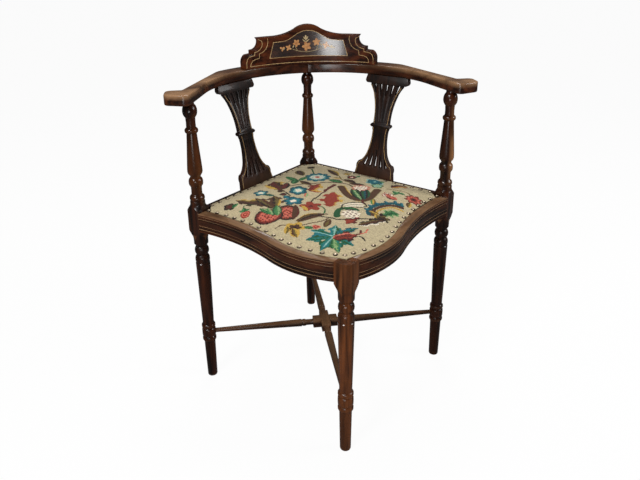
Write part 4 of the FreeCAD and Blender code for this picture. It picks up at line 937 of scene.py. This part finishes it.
# Front right: the crested crescent and the cluster of white berries
crest_line = [(78, -112), (79, -94), (89, -78), (105, -68), (125, -62), (145, -62), (156, -70)]
stem(crest_line, 12, "tbt")
for x, y in crest_line[1:]:
    leaf(x, y, x * 1.12 - 14, y + 14, 8, "bt")
stem([(84, -116), (87, -100), (97, -86), (114, -76), (136, -72), (156, -78)], 9, "nkn")
stem([(88, -126), (91, -110), (100, -96), (117, -85), (138, -81), (154, -90)], 6, "yoy")
stem([(84, -134), (96, -126), (104, -112)], 7, "kn")
leaf(80, -94, 98, -116, 12, "oyn")
leaf(106, -122, 144, -104, 26, "veggegv", 7, 3)
bloom(100, -132, 17, 6, "knkok", 0.5)
leaf(106, -137, 42, -158, 22, "konnkw", 0, 3)
leaf(52, -120, 22, -150, 22, "rrrm", 0, 2)
stem([(30, -60), (50, -56), (72, -60)], 7, "w")
stem([(38, -69), (56, -67), (72, -71)], 6, "w")
stem([(27, -74), (30, -59), (50, -50), (72, -51), (80, -62), (80, -76)], 3.4, "k")
stem([(36, -64), (54, -62), (72, -66)], 2, "k")
stem([(58, -76), (70, -77), (78, -75)], 3.4, "k")
stem([(10, -112), (12, -98), (18, -84), (30, -76)], 15, "gegkg", 0.6)
leaf(22, -76, 62, -94, 19, "gkgek", 4)
bloom(40, -107, 20, 8, "wwww", 0.15)
seeds(40, -107, 18, 18, 10, 2.6, "m")

# Front left: yellow leaves and the winding stalks
leaf(-73, -126, -12, -100, 24, "nnkoy", 9)
stem([(-73, -119), (-60, -104), (-44, -96), (-26, -95), (-8, -101)], 4.6, "nk")
stem([(-117, -134), (-104, -127), (-92, -136), (-67, -141), (-45, -134), (-22, -130), (-6, -118)], 3.2, "n")
stem([(-28, -104), (-18, -112), (-3, -118), (6, -128), (24, -130), (52, -129), (83, -133), (106, -139)],
     4.2, "k")
leaf(-22, -156, -6, -124, 15, "non")
bloom(-80, -146, 23, 5, "knnyy", 0.4, 54)
leaf(-84, -148, -79, -182, 20, "ynoyy")
leaf(-94, -136, -99, -162, 11, "yo")
bloom(-38, -152, 9, 3, "srs")
leaf(-62, -148, -44, -157, 12, "geg")

# Front corner: the great blue flower and its red bud
for tip_x, tip_y, width, tones in ((-50, -162, 24, "cgcbc"), (-64, -197, 24, "bgcgc"),
                                   (1, -152, 22, "cgacb"), (22, -232, 20, "cgcb"),
                                   (-42, -236, 23, "gcbcg"), (-10, -249, 22, "gevecg")):
    leaf(-10, -192, tip_x, tip_y, width, tones, 0, 2)
leaf(-4, -184, 44, -168, 15, "tgbt", 0, 2)
stem([(-50, -168), (-30, -178), (-12, -192)], 2.4, "a")
stem([(-34, -226), (-24, -212), (-12, -196)], 2.4, "a")
leaf(-13, -200, 36, -196, 31, "kmrmrsm", 0, 2)
leaf(-10, -194, 26, -188, 9, "ms")
stem([(32, -193), (43, -191), (46, -179)], 4.4, "m")
stem([(43, -191), (54, -187), (60, -175)], 3.4, "s")
stem([(36, -200), (44, -203), (46, -214)], 3.6, "k")

wool_of *= chance.normal(1.0, 0.11, (faces, 1)).clip(0.65, 1.3)
face_corners = np.empty(faces, dtype=np.int64)
cover.data.polygons.foreach_get("loop_total", face_corners)
painted = np.ones((len(cover.data.loops), 4))
painted[:, :3] = np.repeat(wool_of, face_corners, axis=0)
yarn_colour = cover.data.color_attributes.new("wool", "FLOAT_COLOR", "CORNER")
yarn_colour.data.foreach_set("color", painted.ravel())

# Each stitch is a slanting hump of wool across one hole of the canvas, with a fuzz over it all. The wool
# colour is painted darker in the grooves between stitches as shade, and a little lighter on each crest
needlework, tree, yarn = new_finish("needlework")
dyed = add(tree, "Attribute", attribute_name="wool")["Color"]
place = add(tree, "TexCoord")
holes = add(tree, "Mapping", {"Vector": place["UV"], "Scale": (stitches, stitches, 1)})[0]
in_hole = add(tree, "SeparateXYZ", {0: add(tree, "VectorMath", {0: holes}, operation="FRACTION")[0]})
off_slant = reckon("ABSOLUTE", reckon("SUBTRACT", in_hole["X"], in_hole["Y"]))
hump = spread(off_slant, 0.75, 0.1)
fuzz = noise(place["Object"], 900.0, 3.0)
# Painted shade: the wool is darkened in the grooves between stitches and lightened a little on each hump
wool_with_painted_shade = layer(tree, 1.0, dyed, spread(hump, 0, 1, 0.62, 1.06), "MULTIPLY")
bump = relief(reckon("MULTIPLY_ADD", fuzz, 0.35, hump), 0.5, 0.0006)
feed(yarn, {"Base Color": wool_with_painted_shade, "Roughness": 0.92, "Specular IOR Level": 0.2, "Sheen Weight": 0.06,
            "Sheen Roughness": 0.5, "Normal": bump})
cover.data.materials.append(needlework)
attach(cover, "root")
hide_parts("needlepoint_cover", "seat_stuffing")

# Cover nails
# Domed upholstery nails with an old bronzed finish, about a thumb's breadth apart round the seat.
# Their crowns are rubbed bright and painted brighter still as a reflection of the ceiling, and each
# stands a little crooked, as it was hammered in.
bronze, tree, metal = new_finish("bronzed_nail")
place = add(tree, "TexCoord")["Object"]
patina = noise(place, 420.0, 4.0)
# The crowns: worn bright, with a painted reflection of the ceiling on the top of each dome
worn_and_reflecting_crown = spread(add(tree, "SeparateXYZ", {0: place})["Z"], 0.4327, 0.4342)
tone = two_tones(reckon("MULTIPLY", worn_and_reflecting_crown, patina), 0.1, (0.022, 0.013, 0.009), 0.5, (0.62, 0.5, 0.36))
feed(metal, {"Base Color": tone, "Metallic": 1.0, "Roughness": spread(patina, 0, 1, 0.2, 0.5),
             "Normal": relief(patina, 0.15, 0.0003)})

bpy.ops.object.select_all(action="DESELECT")
bpy.ops.mesh.primitive_uv_sphere_add(segments=12, ring_count=8, radius=0.0048, location=(0, 0, 0))
nail = bpy.context.object
nail.name = "cover_nails"
bpy.ops.object.mode_set(mode="EDIT")
bpy.ops.mesh.select_all(action="SELECT")
bpy.ops.mesh.bisect(plane_co=(0, 0, 0), plane_no=(0, 0, 1), clear_inner=True, use_fill=True)
bpy.ops.mesh.select_all(action="SELECT")
bpy.ops.transform.resize(value=(1, 1, 0.56), center_override=(0, 0, 0))
bpy.ops.object.mode_set(mode="OBJECT")
nails_a_side = 15
front_gap, back_gap = 24.1, 23.6
nail_places = [(0.0, -260.0)]
for number in range(nails_a_side):
    for x, y in (front_edge(25.0 + number * front_gap, 22.5), back_edge(30.0 + number * back_gap, 10.5)):
        nail_places += [(x, y), (-x, y)]
nail_heads = [nail]
for number in range(len(nail_places) - 1):
    head = bpy.data.objects.new("nail", nail.data.copy())
    scene.collection.objects.link(head)
    nail_heads.append(head)
for head, (x, y) in zip(nail_heads, nail_places):
    lean = Matrix.Rotation(math.radians(chance.uniform(-5, 5)), 4, "X")
    off_x, off_y = chance.uniform(-0.7, 0.7), chance.uniform(-0.7, 0.7)
    spot = Vector(((x + off_x) / 1000, (y + off_y) / 1000 + frame_shift, 0.4317 + chance.uniform(0, 0.0003)))
    head.data.transform(Matrix.Translation(spot) @ lean)
    head.select_set(True)
bpy.context.view_layer.objects.active = nail
bpy.ops.object.join()
bpy.ops.object.shade_smooth_by_angle(angle=math.radians(40))
nail.data.materials.append(bronze)
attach(nail, "root")
